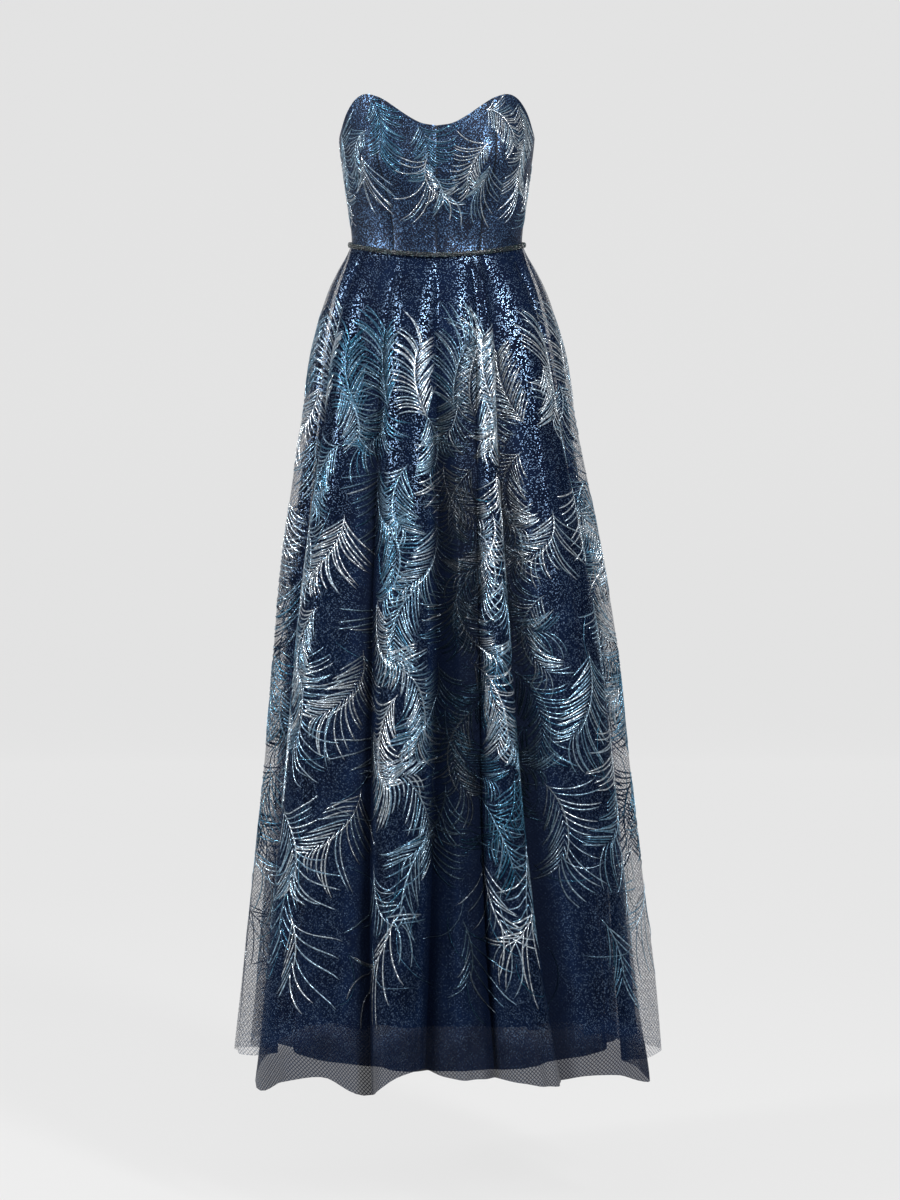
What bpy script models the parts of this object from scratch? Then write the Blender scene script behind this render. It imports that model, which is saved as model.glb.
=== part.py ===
"""A strapless ball gown, held out as if worn: a boned bodice with a sweetheart top edge, a narrow beaded
cord round the waist, a long pleated overskirt of net, a plain tulle underskirt and an opaque lining, closed
by a concealed zip at the centre back.

Units are metres, +Z is up, the front faces -Y and the wearer's left side is towards +X. The origin is the
middle of the waist, which is where the wearer holds the gown up. Angles run round the waist in degrees: 0 is
the centre front, 90 the wearer's left side, 180 the centre back.
"""

from collections import namedtuple

import bmesh
import bpy
import numpy as np

# Waist seam: it dips at the centre front, and each piece stops this far from its neighbour.
WAIST_DIP = 0.022
SEAM_GAP = 0.0003
DIP_FADE = 0.300

# Walls. The bodice is net, lining and boning sewn together, so it is the thickest.
BODICE_WALL = 0.0022
NET_WALL = 0.0010
TULLE_WALL = 0.0010
LINING_WALL = 0.0012

# Cross-sections of the bodice: half its width, and its depth in front of and behind the side seams.
BodiceSection = namedtuple("BodiceSection", "height half_width front back")
BODICE = [
    BodiceSection(-0.040, 0.1275, 0.0965, 0.0925),
    BodiceSection(0.000, 0.1250, 0.0945, 0.0905),
    BodiceSection(0.045, 0.1292, 0.0990, 0.0925),
    BodiceSection(0.098, 0.1368, 0.1070, 0.0965),
    BodiceSection(0.150, 0.1432, 0.1085, 0.1005),
    BodiceSection(0.215, 0.1440, 0.0985, 0.1020),
]

# The cups, cut and darted to stand out: how far, at what angle and height, and how wide each swell is.
CUP_SWELL = 0.019
CUP_ANGLE = 34.0
CUP_SPREAD = 21.0
CUP_HEIGHT = 0.122
CUP_RISE = 0.052

# The sweetheart top edge, the same on both sides: its height at each angle from the centre front.
TopEdge = namedtuple("TopEdge", "angle height")
TOP_EDGE = [
    TopEdge(0, 0.163),
    TopEdge(9, 0.167),
    TopEdge(17, 0.178),
    TopEdge(24, 0.190),
    TopEdge(31, 0.201),
    TopEdge(39, 0.209),
    TopEdge(46, 0.2115),
    TopEdge(54, 0.206),
    TopEdge(64, 0.189),
    TopEdge(75, 0.165),
    TopEdge(90, 0.150),
    TopEdge(120, 0.139),
    TopEdge(150, 0.129),
    TopEdge(180, 0.125),
]

# Bodice panels of one side: the seams that bound each one, at the waist and at the top edge.
Panel = namedtuple("Panel", "name waist_from waist_to top_from top_to columns")
PANELS = [
    Panel("bodice_front", 0, 30, 0, 34, 6),
    Panel("bodice_side_front", 30, 92, 34, 90, 11),
    Panel("bodice_side_back", 92, 148, 90, 146, 8),
    Panel("bodice_back", 148, 180, 146, 180, 5),
]
PANEL_ROWS = 11

# Half a seam's gap is turned into an angle at this distance from the middle.
SEAM_RADIUS = 0.115

# Steps of the differences that give a surface's slope: degrees, folds and shares of the way down.
ANGLE_STEP = 1.0
SHARE_STEP = 0.01

# Skirt cross-sections, measured over the crests of the folds. Fold is how far a full crest stands out.
# Heights count from the waist seam, whose dip fades out of the shape by DIP_FADE.
SkirtSection = namedtuple("SkirtSection", "height half_width front back fold")
NET = [
    SkirtSection(0.004, 0.1254, 0.0949, 0.0909, 0.0002),
    SkirtSection(-0.026, 0.1372, 0.1005, 0.1015, 0.0020),
    SkirtSection(-0.060, 0.1542, 0.1135, 0.1185, 0.0050),
    SkirtSection(-0.130, 0.1765, 0.1325, 0.1445, 0.0110),
    SkirtSection(-0.260, 0.2020, 0.1560, 0.1720, 0.0210),
    SkirtSection(-0.540, 0.2480, 0.2010, 0.2190, 0.0340),
    SkirtSection(-0.840, 0.2780, 0.2330, 0.2530, 0.0430),
    SkirtSection(-1.220, 0.3180, 0.2650, 0.2890, 0.0520),
]
TULLE = [
    SkirtSection(0.004, 0.1240, 0.0935, 0.0895, 0.0001),
    SkirtSection(-0.026, 0.1322, 0.0964, 0.0974, 0.0003),
    SkirtSection(-0.060, 0.1450, 0.1060, 0.1110, 0.0010),
    SkirtSection(-0.130, 0.1610, 0.1185, 0.1305, 0.0030),
    SkirtSection(-0.260, 0.1780, 0.1330, 0.1490, 0.0060),
    SkirtSection(-0.540, 0.2060, 0.1600, 0.1780, 0.0100),
    SkirtSection(-0.840, 0.2240, 0.1780, 0.1980, 0.0140),
    SkirtSection(-1.220, 0.2480, 0.1960, 0.2200, 0.0180),
]
LINING = [
    SkirtSection(0.004, 0.1226, 0.0921, 0.0881, 0.0001),
    SkirtSection(-0.026, 0.1306, 0.0948, 0.0958, 0.0003),
    SkirtSection(-0.060, 0.1422, 0.1032, 0.1082, 0.0010),
    SkirtSection(-0.130, 0.1575, 0.1150, 0.1270, 0.0030),
    SkirtSection(-0.260, 0.1735, 0.1285, 0.1445, 0.0060),
    SkirtSection(-0.540, 0.1990, 0.1530, 0.1710, 0.0100),
    SkirtSection(-0.840, 0.2150, 0.1690, 0.1890, 0.0140),
    SkirtSection(-1.220, 0.2360, 0.1840, 0.2080, 0.0180),
]

# The skirt leans to the wearer's left, all of it by this height.
LEAN = 0.0145
LEAN_HEIGHT = -0.750

# Pleats: the angle of each valley at the waist, halfway down and at the hem. The first is the centre back.
Valley = namedtuple("Valley", "waist middle hem")
VALLEYS = [
    Valley(-180, -180, -180),
    Valley(-150, -149, -151),
    Valley(-121, -121, -124),
    Valley(-90, -96, -99),
    Valley(-57, -69, -71),
    Valley(-27, -29, -24),
    Valley(0, -3, -7),
    Valley(22, 13, 15),
    Valley(31, 25, 38),
    Valley(60, 75, 78),
    Valley(90, 99, 103),
    Valley(119, 124, 127),
    Valley(150, 149, 151),
]
MIDDLE = 0.45

# Crests: the share of the full fold that each one reaches halfway down and at the hem, and where its top
# lies between its valleys, as a power: over 1 it leans to the wearer's left.
Crest = namedtuple("Crest", "middle hem lean")
CRESTS = [
    Crest(0.90, 1.00, 1.10),
    Crest(1.10, 0.95, 0.90),
    Crest(0.85, 1.05, 1.00),
    Crest(1.00, 1.00, 0.90),
    Crest(1.00, 1.05, 0.75),
    Crest(1.05, 1.00, 1.15),
    Crest(0.10, 0.30, 1.00),
    Crest(1.00, 0.95, 0.90),
    Crest(1.00, 1.00, 1.45),
    Crest(0.95, 1.05, 1.05),
    Crest(0.95, 1.05, 1.10),
    Crest(1.10, 0.90, 0.90),
    Crest(0.85, 1.00, 1.00),
]
ROUNDNESS = 1.1

# The net's hem, which hangs in uneven points: its height at each angle.
Hem = namedtuple("Hem", "angle height")
NET_HEM = [
    Hem(-180, -1.196),
    Hem(-150, -1.208),
    Hem(-125, -1.192),
    Hem(-104, -1.204),
    Hem(-88, -1.192),
    Hem(-78, -1.194),
    Hem(-66, -1.190),
    Hem(-59, -1.224),
    Hem(-48, -1.206),
    Hem(-37, -1.196),
    Hem(-25, -1.222),
    Hem(-11, -1.180),
    Hem(2, -1.192),
    Hem(18, -1.195),
    Hem(34, -1.206),
    Hem(54, -1.203),
    Hem(67, -1.220),
    Hem(74, -1.206),
    Hem(84, -1.203),
    Hem(105, -1.192),
    Hem(138, -1.210),
    Hem(180, -1.196),
]
TULLE_HEM = [Hem(-180, -1.168), Hem(-60, -1.164), Hem(0, -1.174), Hem(70, -1.162), Hem(180, -1.168)]
LINING_HEM = [Hem(-180, -1.120), Hem(-50, -1.126), Hem(0, -1.122), Hem(45, -1.126), Hem(180, -1.120)]

# How far down each row of a skirt lies, as a share of its length.
NET_ROWS = [0, 0.015, 0.04, 0.075, 0.12, 0.19, 0.28, 0.40, 0.52, 0.65, 0.77, 0.87, 0.94, 1]
UNDER_ROWS = [0, 0.02, 0.05, 0.10, 0.18, 0.30, 0.46, 0.64, 0.84, 1]
NET_COLUMNS = 8
UNDER_COLUMNS = 4

# Each skirt layer is cut in three, with side seams and a centre back seam, at these valleys.
Cut = namedtuple("Cut", "name start end")
CUTS = [Cut("back_right", 0, 3), Cut("front", 3, 10), Cut("back_left", 10, 13)]

# Waist cord: half its height, half its thickness, how far its middle lies above the seam and off the cloth.
CORD_HALF_HEIGHT = 0.0030
CORD_HALF_THICKNESS = 0.0016
CORD_ABOVE_SEAM = 0.0016
CORD_OFF_CLOTH = 0.0018
CORD_COLUMNS = 84
CORD_SIDES = 6
CORD_BACK_OPENING = 1.6

# Concealed zip: its tape behind the centre back seam, and where the seam widens for the slider.
TAPE_HALF_WIDTH = 0.011
TAPE_WALL = 0.0008
TAPE_OFF_CLOTH = 0.0018
TAPE_TOP = 0.0975
TAPE_BOTTOM = -0.150
TAPE_ROWS = 14
TAPE_COLUMNS = 5
SLIDER_HEIGHT = 0.1060
SEAM_OPEN_FROM = 0.090
SEAM_OPEN_BY = 0.098
SEAM_OPENING = 0.0020

# Slider: a plate behind the seam, a neck through it, and a ring outside that carries the pull tab.
PLATE = (0.0060, 0.0012, 0.0080)
NECK_WIDTH = 0.0014
NECK_HEIGHT = 0.0030
RING_INNER = 0.00105
RING_OUTER = 0.0019
RING_OFF_CLOTH = 0.0004
RING_SIDES = 16
TAB_THICKNESS = 0.0010
TAB_TOP_HALF_WIDTH = 0.0021
TAB_HALF_WIDTH = 0.0030
TAB_EYE_HALF_WIDTH = 0.0011
TAB_EYE_DROP = 0.0026
TAB_BAR = 0.0005
TAB_LENGTH = 0.0230
TAB_TIP_POINTS = 9

NAVY_NET = (0.016, 0.030, 0.075)
NAVY_TULLE = (0.014, 0.026, 0.060)
NAVY_LINING = (0.005, 0.010, 0.028)
DARK_BEAD = (0.010, 0.016, 0.022)
NAVY_METAL = (0.020, 0.030, 0.060)


def clear_scene():
    """Removes every object that is in the scene."""
    for thing in list(bpy.data.objects):
        bpy.data.objects.remove(thing, do_unlink=True)


def make_material(name, colour, roughness, metallic=0.0):
    """A Principled material of one colour."""
    material = bpy.data.materials.new(name)
    material.use_nodes = True
    shader = material.node_tree.nodes["Principled BSDF"]
    shader.inputs["Base Color"].default_value = (*colour, 1)
    shader.inputs["Roughness"].default_value = roughness
    shader.inputs["Metallic"].default_value = metallic
    material.diffuse_color = (*colour, 1)
    return material


def through(x, rows, column, key="height"):
    """Values at x of one column: a smooth cubic between rows, with the rows' own mean slopes."""
    order = sorted(rows, key=lambda row: getattr(row, key))
    knots = np.array([getattr(row, key) for row in order], float)
    values = np.array([getattr(row, column) for row in order], float)
    slopes = np.gradient(values, knots)
    at = np.clip(x, knots[0], knots[-1])
    left = np.clip(np.searchsorted(knots, at) - 1, 0, len(knots) - 2)
    width = knots[left + 1] - knots[left]
    share = (at - knots[left]) / width
    rise = values[left + 1] - values[left]
    ease = share * share * (3 - 2 * share)
    bend = share * (1 - share) * width
    return values[left] + rise * ease + bend * (slopes[left] * (1 - share) - slopes[left + 1] * share)


def ease(low, high, x):
    """0 up to low, 1 from high on, and a smooth step between."""
    share = np.clip((x - low) / (high - low), 0, 1)
    return share * share * (3 - 2 * share)


def waist_height(angle):
    """Height of the waist seam, which dips towards the centre front."""
    return -WAIST_DIP * ((1 + np.cos(np.radians(angle))) / 2) ** 3


def ring_point(angle, half_width, front, back):
    """A point of an oval whose front and back halves have their own depths."""
    turn = np.radians(angle)
    depth = np.where(np.cos(turn) > 0, front, back)
    return half_width * np.sin(turn), -depth * np.cos(turn)


def bodice_point(angle, height):
    """Outer face of the bodice: the section at that height, swelled over the two cups."""
    swell = 0.0
    for side in (-1, 1):
        across = (angle - side * CUP_ANGLE) / CUP_SPREAD
        along = (height - CUP_HEIGHT) / CUP_RISE
        swell = swell + CUP_SWELL * np.exp(-(across**2) - along**2)
    sizes = [through(height, BODICE, name) + swell for name in ("half_width", "front", "back")]
    x, y = ring_point(angle, *sizes)
    return np.stack([x, y, height + 0 * x], axis=-1)


def bodice_sheet(angle, share):
    """Outer face of the bodice at a share of the way from the waist seam to the top edge."""
    low = waist_height(angle) + SEAM_GAP / 2
    high = through(np.abs(angle), TOP_EDGE, "height", key="angle")
    return bodice_point(angle, low + share * (high - low))


def valley_angle(number, share):
    """Angle of a valley at a share of the way down, on the parabola through its three stated angles."""
    table = np.array([*VALLEYS, [valley + 360 for valley in VALLEYS[0]]], float)
    waist, middle, hem = np.moveaxis(table[number], -1, 0)
    first = waist * (share - MIDDLE) * (share - 1) / MIDDLE
    second = middle * share * (share - 1) / (MIDDLE * (MIDDLE - 1))
    third = hem * share * (share - MIDDLE) / (1 - MIDDLE)
    return first + second + third


def skirt_sheet(sections, hem, fold, share):
    """Outer face of a skirt layer. Fold counts the folds round from the centre back, and share runs from
    the waist seam to the hem. Between two valleys the crest rises as a power of the parabola 4u(1 - u)."""
    number = np.clip(np.floor(fold).astype(int), 0, len(VALLEYS) - 1)
    across = fold - number
    first = valley_angle(number, share)
    last = valley_angle(number + 1, share)
    angle = first + across * (last - first)
    top = waist_height(angle) - SEAM_GAP / 2
    height = top + share * (through(angle, hem, "height", key="angle") - top)
    crests = np.array(CRESTS, float)[number]
    middle, low, lean = np.moveaxis(crests, -1, 0)
    reach = middle + (low - middle) * ease(MIDDLE, 1, share)
    skewed = np.clip(across, 0, 1) ** lean
    rise = reach * (4 * skewed * (1 - skewed)) ** ROUNDNESS - 1
    below = height - waist_height(angle) * (1 - ease(0, DIP_FADE, -height))
    off = through(below, sections, "fold") * rise
    sizes = [through(below, sections, name) + off for name in ("half_width", "front", "back")]
    x, y = ring_point(angle, *sizes)
    return np.stack([x + LEAN * ease(0, -LEAN_HEIGHT, -height), y, height], axis=-1)


def outward(sheet, across, along, step):
    """Unit normals of a sheet, by differences a step either way, pointing away from the wearer."""
    side = sheet(across + step, along) - sheet(across - step, along)
    above, below = np.clip(along - SHARE_STEP, 0, 1), np.clip(along + SHARE_STEP, 0, 1)
    up = sheet(across, above) - sheet(across, below)
    normal = np.cross(side, up)
    normal /= np.linalg.norm(normal, axis=-1, keepdims=True)
    middle = sheet(across, along)
    away = np.sum(normal[..., :2] * middle[..., :2], axis=-1, keepdims=True)
    return normal * np.where(away < 0, -1, 1)


def mitred_offset(wide, wall):
    """Points one wall's thickness behind the middle columns of a grid. The normals of the two flanks at each
    column are averaged and the step lengthened as in a mitre, so a sharp fold keeps its thickness."""
    down = np.gradient(wide, axis=0)[:, 1:-1]
    normals = [np.cross(run, down) for run in (wide[:, 1:-1] - wide[:, :-2], wide[:, 2:] - wide[:, 1:-1])]
    normals = [normal / np.linalg.norm(normal, axis=-1, keepdims=True) for normal in normals]
    middle = normals[0] + normals[1]
    middle /= np.linalg.norm(middle, axis=-1, keepdims=True)
    reach = np.clip(np.sum(middle * normals[0], axis=-1, keepdims=True), 0.6, 1)
    away = np.sum(middle[..., :2] * wide[:, 1:-1, :2], axis=-1, keepdims=True)
    return wide[:, 1:-1] - middle * np.where(away < 0, -1, 1) * wall / reach


def wall_object(name, outer, inner, material):
    """One closed wall between two grids of points, with a rim round its four edges. Both faces are split
    along the same diagonal, the shorter one, so that a twisted wall never crosses itself."""
    rows, columns = outer.shape[:2]
    points = np.concatenate([outer.reshape(-1, 3), inner.reshape(-1, 3)])
    index = np.arange(rows * columns).reshape(rows, columns)
    a, b, c, d = index[:-1, :-1], index[:-1, 1:], index[1:, 1:], index[1:, :-1]
    corners = np.stack([a, b, c, d], axis=-1).reshape(-1, 4)
    spans = np.linalg.norm(points[corners[:, :2]] - points[corners[:, 2:]], axis=-1)
    corners = np.where(spans[:, :1] > spans[:, 1:], np.roll(corners, 1, axis=1), corners)
    front = np.concatenate([corners[:, [0, 1, 2]], corners[:, [0, 2, 3]]])
    behind = front[:, ::-1] + rows * columns
    edge = np.concatenate([index[0, :-1], index[:-1, -1], index[-1, :0:-1], index[:0:-1, 0]])
    after = np.roll(edge, -1)
    rim = np.stack([after, edge, edge + rows * columns, after + rows * columns], axis=-1)
    faces = [*front.tolist(), *behind.tolist(), *rim.tolist()]
    return mesh_object(name, points, faces, material)


def mesh_object(name, points, faces, material):
    """A smooth-shaded object of these points and faces, with its faces turned outwards."""
    mesh = bpy.data.meshes.new(name)
    mesh.from_pydata(points.tolist(), [], faces)
    shape = bmesh.new()
    shape.from_mesh(mesh)
    bmesh.ops.recalc_face_normals(shape, faces=shape.faces)
    if shape.calc_volume(signed=True) < 0:
        bmesh.ops.reverse_faces(shape, faces=shape.faces)
    shape.to_mesh(mesh)
    shape.free()
    mesh.materials.append(material)
    mesh.shade_smooth()
    mesh.set_sharp_from_angle(angle=np.radians(50))
    thing = bpy.data.objects.new(name, mesh)
    bpy.context.scene.collection.objects.link(thing)
    return thing


def bodice_panel(panel, side, material):
    """One bodice panel, on the wearer's left for side 1 and on the right for side -1."""
    share = np.linspace(0, 1, PANEL_ROWS)[:, None]
    start = panel.waist_from + share * (panel.top_from - panel.waist_from)
    end = panel.waist_to + share * (panel.top_to - panel.waist_to)
    gap = np.degrees(SEAM_GAP / 2 / SEAM_RADIUS)
    end_gap = gap + 0 * share
    if panel.waist_to == 180:
        height = share * TOP_EDGE[-1].height
        opening = SEAM_GAP + (SEAM_OPENING - SEAM_GAP) * ease(SEAM_OPEN_FROM, SEAM_OPEN_BY, height)
        end_gap = np.degrees(opening / 2 / BODICE[1].back)
    across = np.linspace(0, 1, panel.columns + 1)[None, :]
    angle = side * (start + gap + across * (end - end_gap - start - gap))
    share = share + 0 * angle
    outer = bodice_sheet(angle, share)
    inner = outer - BODICE_WALL * outward(bodice_sheet, angle, share, ANGLE_STEP)
    inner[0, :, 2] = outer[0, :, 2]
    word = "left" if side > 0 else "right"
    return wall_object(f"{panel.name}_{word}", outer, inner, material)


def skirt_piece(layer, cut, sections, hem, rows, columns, wall, material):
    """One piece of a skirt layer, between two of the valleys."""
    count = (cut.end - cut.start) * columns + 2
    fold = np.linspace(cut.start - 1 / columns, cut.end + 1 / columns, count + 1)[None, :] % len(VALLEYS)
    share = np.array(rows, float)[:, None]
    wide = skirt_sheet(sections, hem, fold + 0 * share, share + 0 * fold)
    outer = wide[:, 1:-1].copy()
    inner = mitred_offset(wide, wall)
    inner[0, :, 2] = outer[0, :, 2]
    for grid in (outer, inner):
        for column, step in ((0, 1), (-1, -2)):
            run = grid[:, step] - grid[:, column]
            run /= np.linalg.norm(run, axis=-1, keepdims=True)
            grid[:, column] += run * SEAM_GAP / 2
    return wall_object(f"{layer}_{cut.name}", outer, inner, material)


def waist_cord(material):
    """The beaded cord as a tube of six sides along the waist seam, open at the centre back."""
    angle = np.linspace(-180 + CORD_BACK_OPENING, 180 - CORD_BACK_OPENING, CORD_COLUMNS)
    height = waist_height(angle)
    base = bodice_point(angle, height)
    out = outward(bodice_sheet, angle, 0 * angle + SHARE_STEP, ANGLE_STEP) * [1, 1, 0]
    out /= np.linalg.norm(out, axis=-1, keepdims=True)
    middle = base + out * (CORD_OFF_CLOTH + CORD_HALF_THICKNESS)
    middle[:, 2] = height + CORD_ABOVE_SEAM
    turn = np.radians(np.arange(CORD_SIDES) * 360 / CORD_SIDES)[None, :, None]
    ring = middle[:, None] + out[:, None] * CORD_HALF_THICKNESS * np.cos(turn)
    ring = ring + np.array([0, 0, 1]) * CORD_HALF_HEIGHT * np.sin(turn)
    index = np.arange(CORD_COLUMNS * CORD_SIDES).reshape(CORD_COLUMNS, CORD_SIDES)
    after = np.roll(index, -1, axis=1)
    sides = np.stack([index[:-1], after[:-1], after[1:], index[1:]], axis=-1).reshape(-1, 4)
    faces = [*sides.tolist(), index[0].tolist(), index[-1, ::-1].tolist()]
    return mesh_object("waist_cord", ring.reshape(-1, 3), faces, material)


def centre_back_depth(height):
    """How far behind the origin the innermost cloth's inner face lies at the centre back."""
    lining = through(height, LINING, "back") - through(height, LINING, "fold") - LINING_WALL
    bodice = through(height, BODICE, "back") - BODICE_WALL
    return lining + (bodice - lining) * ease(0, 0.030, height)


def zip_tape(material):
    """The zip's tape: a strip behind the centre back seam, from under the slider to below the hip."""
    height = np.linspace(TAPE_BOTTOM, TAPE_TOP, TAPE_ROWS)[:, None]
    across = np.linspace(-1, 1, TAPE_COLUMNS)[None, :] * TAPE_HALF_WIDTH
    depth = centre_back_depth(height) - TAPE_OFF_CLOTH
    half_width = through(np.maximum(height, 0), BODICE, "half_width") - BODICE_WALL
    curve = depth * np.sqrt(1 - (across / half_width) ** 2)
    x = across + LEAN * ease(0, -LEAN_HEIGHT, -height)
    outer = np.stack([x, curve, height + 0 * across], axis=-1)
    inner = outer - [0, TAPE_WALL, 0]
    return wall_object("zip_tape", outer, inner, material)


def box_shape(middle, size):
    """A box as points and faces, by its middle and its three sides."""
    signs = np.array([[x, y, z] for x in (-1, 1) for y in (-1, 1) for z in (-1, 1)], float)
    points = np.array(middle) + signs * np.array(size) / 2
    faces = [[0, 1, 3, 2], [4, 6, 7, 5], [0, 4, 5, 1], [2, 3, 7, 6], [0, 2, 6, 4], [1, 5, 7, 3]]
    return points, faces


def hinge_place():
    """The pull tab's axis: behind the cloth's outer face by the slider ring's own radius."""
    cloth = float(through(SLIDER_HEIGHT, BODICE, "back"))
    return cloth + RING_OFF_CLOTH + RING_OUTER, SLIDER_HEIGHT


def zip_slider(material):
    """Slider: ring, neck and plate, each made on its own and joined by union modifiers."""
    depth, height = hinge_place()
    turn = np.radians(np.arange(RING_SIDES) * 360 / RING_SIDES)
    loops = []
    for radius, x in ((RING_OUTER, 1), (RING_OUTER, -1), (RING_INNER, -1), (RING_INNER, 1)):
        across = np.full(RING_SIDES, x * NECK_WIDTH / 2)
        loops.append(np.stack([across, depth + radius * np.cos(turn), height + radius * np.sin(turn)], axis=-1))
    index = np.arange(4 * RING_SIDES).reshape(4, RING_SIDES)
    after = np.roll(index, -1, axis=1)
    faces = np.stack([index, after, np.roll(after, -1, axis=0), np.roll(index, -1, axis=0)], axis=-1)
    slider = mesh_object("zip_slider", np.concatenate(loops), faces.reshape(-1, 4).tolist(), material)
    back = float(through(SLIDER_HEIGHT, BODICE, "back")) - BODICE_WALL
    plate_depth = back - SEAM_GAP * 2 - PLATE[1] / 2
    neck_from, neck_to = plate_depth, depth - (RING_INNER + RING_OUTER) / 2
    parts = [
        ("neck", (0, (neck_from + neck_to) / 2, height), (NECK_WIDTH, neck_to - neck_from, NECK_HEIGHT)),
        ("plate", (0, plate_depth, height), PLATE),
    ]
    for name, middle, size in parts:
        points, box_faces = box_shape(middle, size)
        piece = mesh_object(f"zip_{name}_joined", points, box_faces, material)
        piece.hide_render = True
        piece.display_type = "WIRE"
        join = slider.modifiers.new(name, "BOOLEAN")
        join.operation = "UNION"
        join.object = piece
    return slider


def zip_pull(material):
    """Pull tab: a teardrop plate with an eye, whose top bar runs through the slider's ring. Its own origin
    is on that bar, about which it swings out and up from the cloth."""
    depth, height = hinge_place()
    bend = np.radians(np.linspace(0, 180, TAB_TIP_POINTS))
    tip = -TAB_LENGTH + TAB_HALF_WIDTH
    outline = [(TAB_TOP_HALF_WIDTH, TAB_BAR), (TAB_TOP_HALF_WIDTH, -TAB_EYE_DROP)]
    outline += [(TAB_HALF_WIDTH * np.cos(a), tip - TAB_HALF_WIDTH * np.sin(a)) for a in bend]
    outline += [(-TAB_TOP_HALF_WIDTH, -TAB_EYE_DROP), (-TAB_TOP_HALF_WIDTH, TAB_BAR)]
    eye = [(TAB_EYE_HALF_WIDTH, -TAB_BAR), (TAB_EYE_HALF_WIDTH, -TAB_EYE_DROP)]
    eye += [(-TAB_EYE_HALF_WIDTH, -TAB_EYE_DROP), (-TAB_EYE_HALF_WIDTH, -TAB_BAR)]
    shape = bmesh.new()
    edges = []
    for loop in (outline, eye):
        corners = [shape.verts.new((x, -TAB_THICKNESS / 2, z)) for x, z in loop]
        edges += [shape.edges.new(pair) for pair in zip(corners, corners[1:] + corners[:1])]
    bmesh.ops.triangle_fill(shape, use_beauty=True, edges=edges)
    grown = bmesh.ops.extrude_face_region(shape, geom=shape.faces[:])
    moved = [part for part in grown["geom"] if isinstance(part, bmesh.types.BMVert)]
    bmesh.ops.translate(shape, verts=moved, vec=(0, TAB_THICKNESS, 0))
    bmesh.ops.recalc_face_normals(shape, faces=shape.faces)
    mesh = bpy.data.meshes.new("zip_pull")
    shape.to_mesh(mesh)
    shape.free()
    mesh.materials.append(material)
    pull = bpy.data.objects.new("zip_pull", mesh)
    pull.location = (0, depth, height)
    bpy.context.scene.collection.objects.link(pull)
    return pull


def main():
    """Builds the gown, piece by piece."""
    clear_scene()
    net = make_material("embroidered net", NAVY_NET, 0.55)
    tulle = make_material("plain tulle", NAVY_TULLE, 0.70)
    lining = make_material("crepe lining", NAVY_LINING, 0.60)
    bead = make_material("bead cord", DARK_BEAD, 0.25)
    metal = make_material("painted zip metal", NAVY_METAL, 0.35, 1.0)
    for panel in PANELS:
        for side in (1, -1):
            bodice_panel(panel, side, net)
    for cut in CUTS:
        skirt_piece("overskirt", cut, NET, NET_HEM, NET_ROWS, NET_COLUMNS, NET_WALL, net)
        skirt_piece("underskirt", cut, TULLE, TULLE_HEM, UNDER_ROWS, UNDER_COLUMNS, TULLE_WALL, tulle)
        skirt_piece("lining", cut, LINING, LINING_HEM, UNDER_ROWS, UNDER_COLUMNS, LINING_WALL, lining)
    waist_cord(bead)
    zip_tape(lining)
    zip_slider(metal)
    zip_pull(metal)


main()
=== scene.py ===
# %% [markdown]
# A strapless ball gown is a fitted, boned bodice, a narrow beaded cord round the waist and a long skirt
# in three layers: an embroidered net, a plain tulle under it and an opaque lining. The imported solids
# already have its cut and its largest folds. This lesson loads them and lays a finer cloth surface over
# each one, then adds what a solid can't carry: creases, net, metallic embroidery, beads and the zip's
# coil.

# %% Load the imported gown
from collections import namedtuple

import bpy
import numpy as np
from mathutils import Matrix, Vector


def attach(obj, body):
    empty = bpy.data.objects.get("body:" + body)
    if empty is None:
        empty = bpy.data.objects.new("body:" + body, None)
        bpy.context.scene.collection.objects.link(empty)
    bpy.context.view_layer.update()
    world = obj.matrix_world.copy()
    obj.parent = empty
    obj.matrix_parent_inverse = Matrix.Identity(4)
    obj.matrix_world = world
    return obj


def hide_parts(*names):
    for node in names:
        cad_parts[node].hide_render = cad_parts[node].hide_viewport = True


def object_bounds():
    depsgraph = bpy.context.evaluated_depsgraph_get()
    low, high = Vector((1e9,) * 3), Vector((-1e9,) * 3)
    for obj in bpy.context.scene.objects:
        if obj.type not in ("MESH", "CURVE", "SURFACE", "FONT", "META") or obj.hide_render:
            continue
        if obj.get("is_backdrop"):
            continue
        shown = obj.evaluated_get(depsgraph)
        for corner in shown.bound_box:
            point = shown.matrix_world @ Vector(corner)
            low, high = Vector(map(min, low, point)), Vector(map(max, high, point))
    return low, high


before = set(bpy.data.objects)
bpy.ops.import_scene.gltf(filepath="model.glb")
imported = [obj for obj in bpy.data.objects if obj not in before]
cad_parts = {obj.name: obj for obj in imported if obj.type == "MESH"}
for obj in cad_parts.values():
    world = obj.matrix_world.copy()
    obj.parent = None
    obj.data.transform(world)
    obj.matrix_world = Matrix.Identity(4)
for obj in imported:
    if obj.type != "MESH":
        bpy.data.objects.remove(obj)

cad_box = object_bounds()
rng = np.random.default_rng(11)
print("loaded", len(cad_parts), "solids of the gown")

# %% [markdown]
# Every colour below is an sRGB hex value, read off a paint chip or a screen, but Blender shades in linear
# light. One function does the change. A second one adds a shader node with its settings and its links, so
# that each material reads as a short list of steps. It sets the stops of a colour ramp too.

# %% Colours and nodes
def linear(code):
    """sRGB hex to linear RGBA: c / 12.92 up to 0.04045, and ((c + 0.055) / 1.055) to the power 2.4 above."""
    c = np.array([int(code[i : i + 2], 16) for i in (1, 3, 5)]) / 255
    return (*np.where(c > 0.04045, ((c + 0.055) / 1.055) ** 2.4, c / 12.92).tolist(), 1.0)


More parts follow.
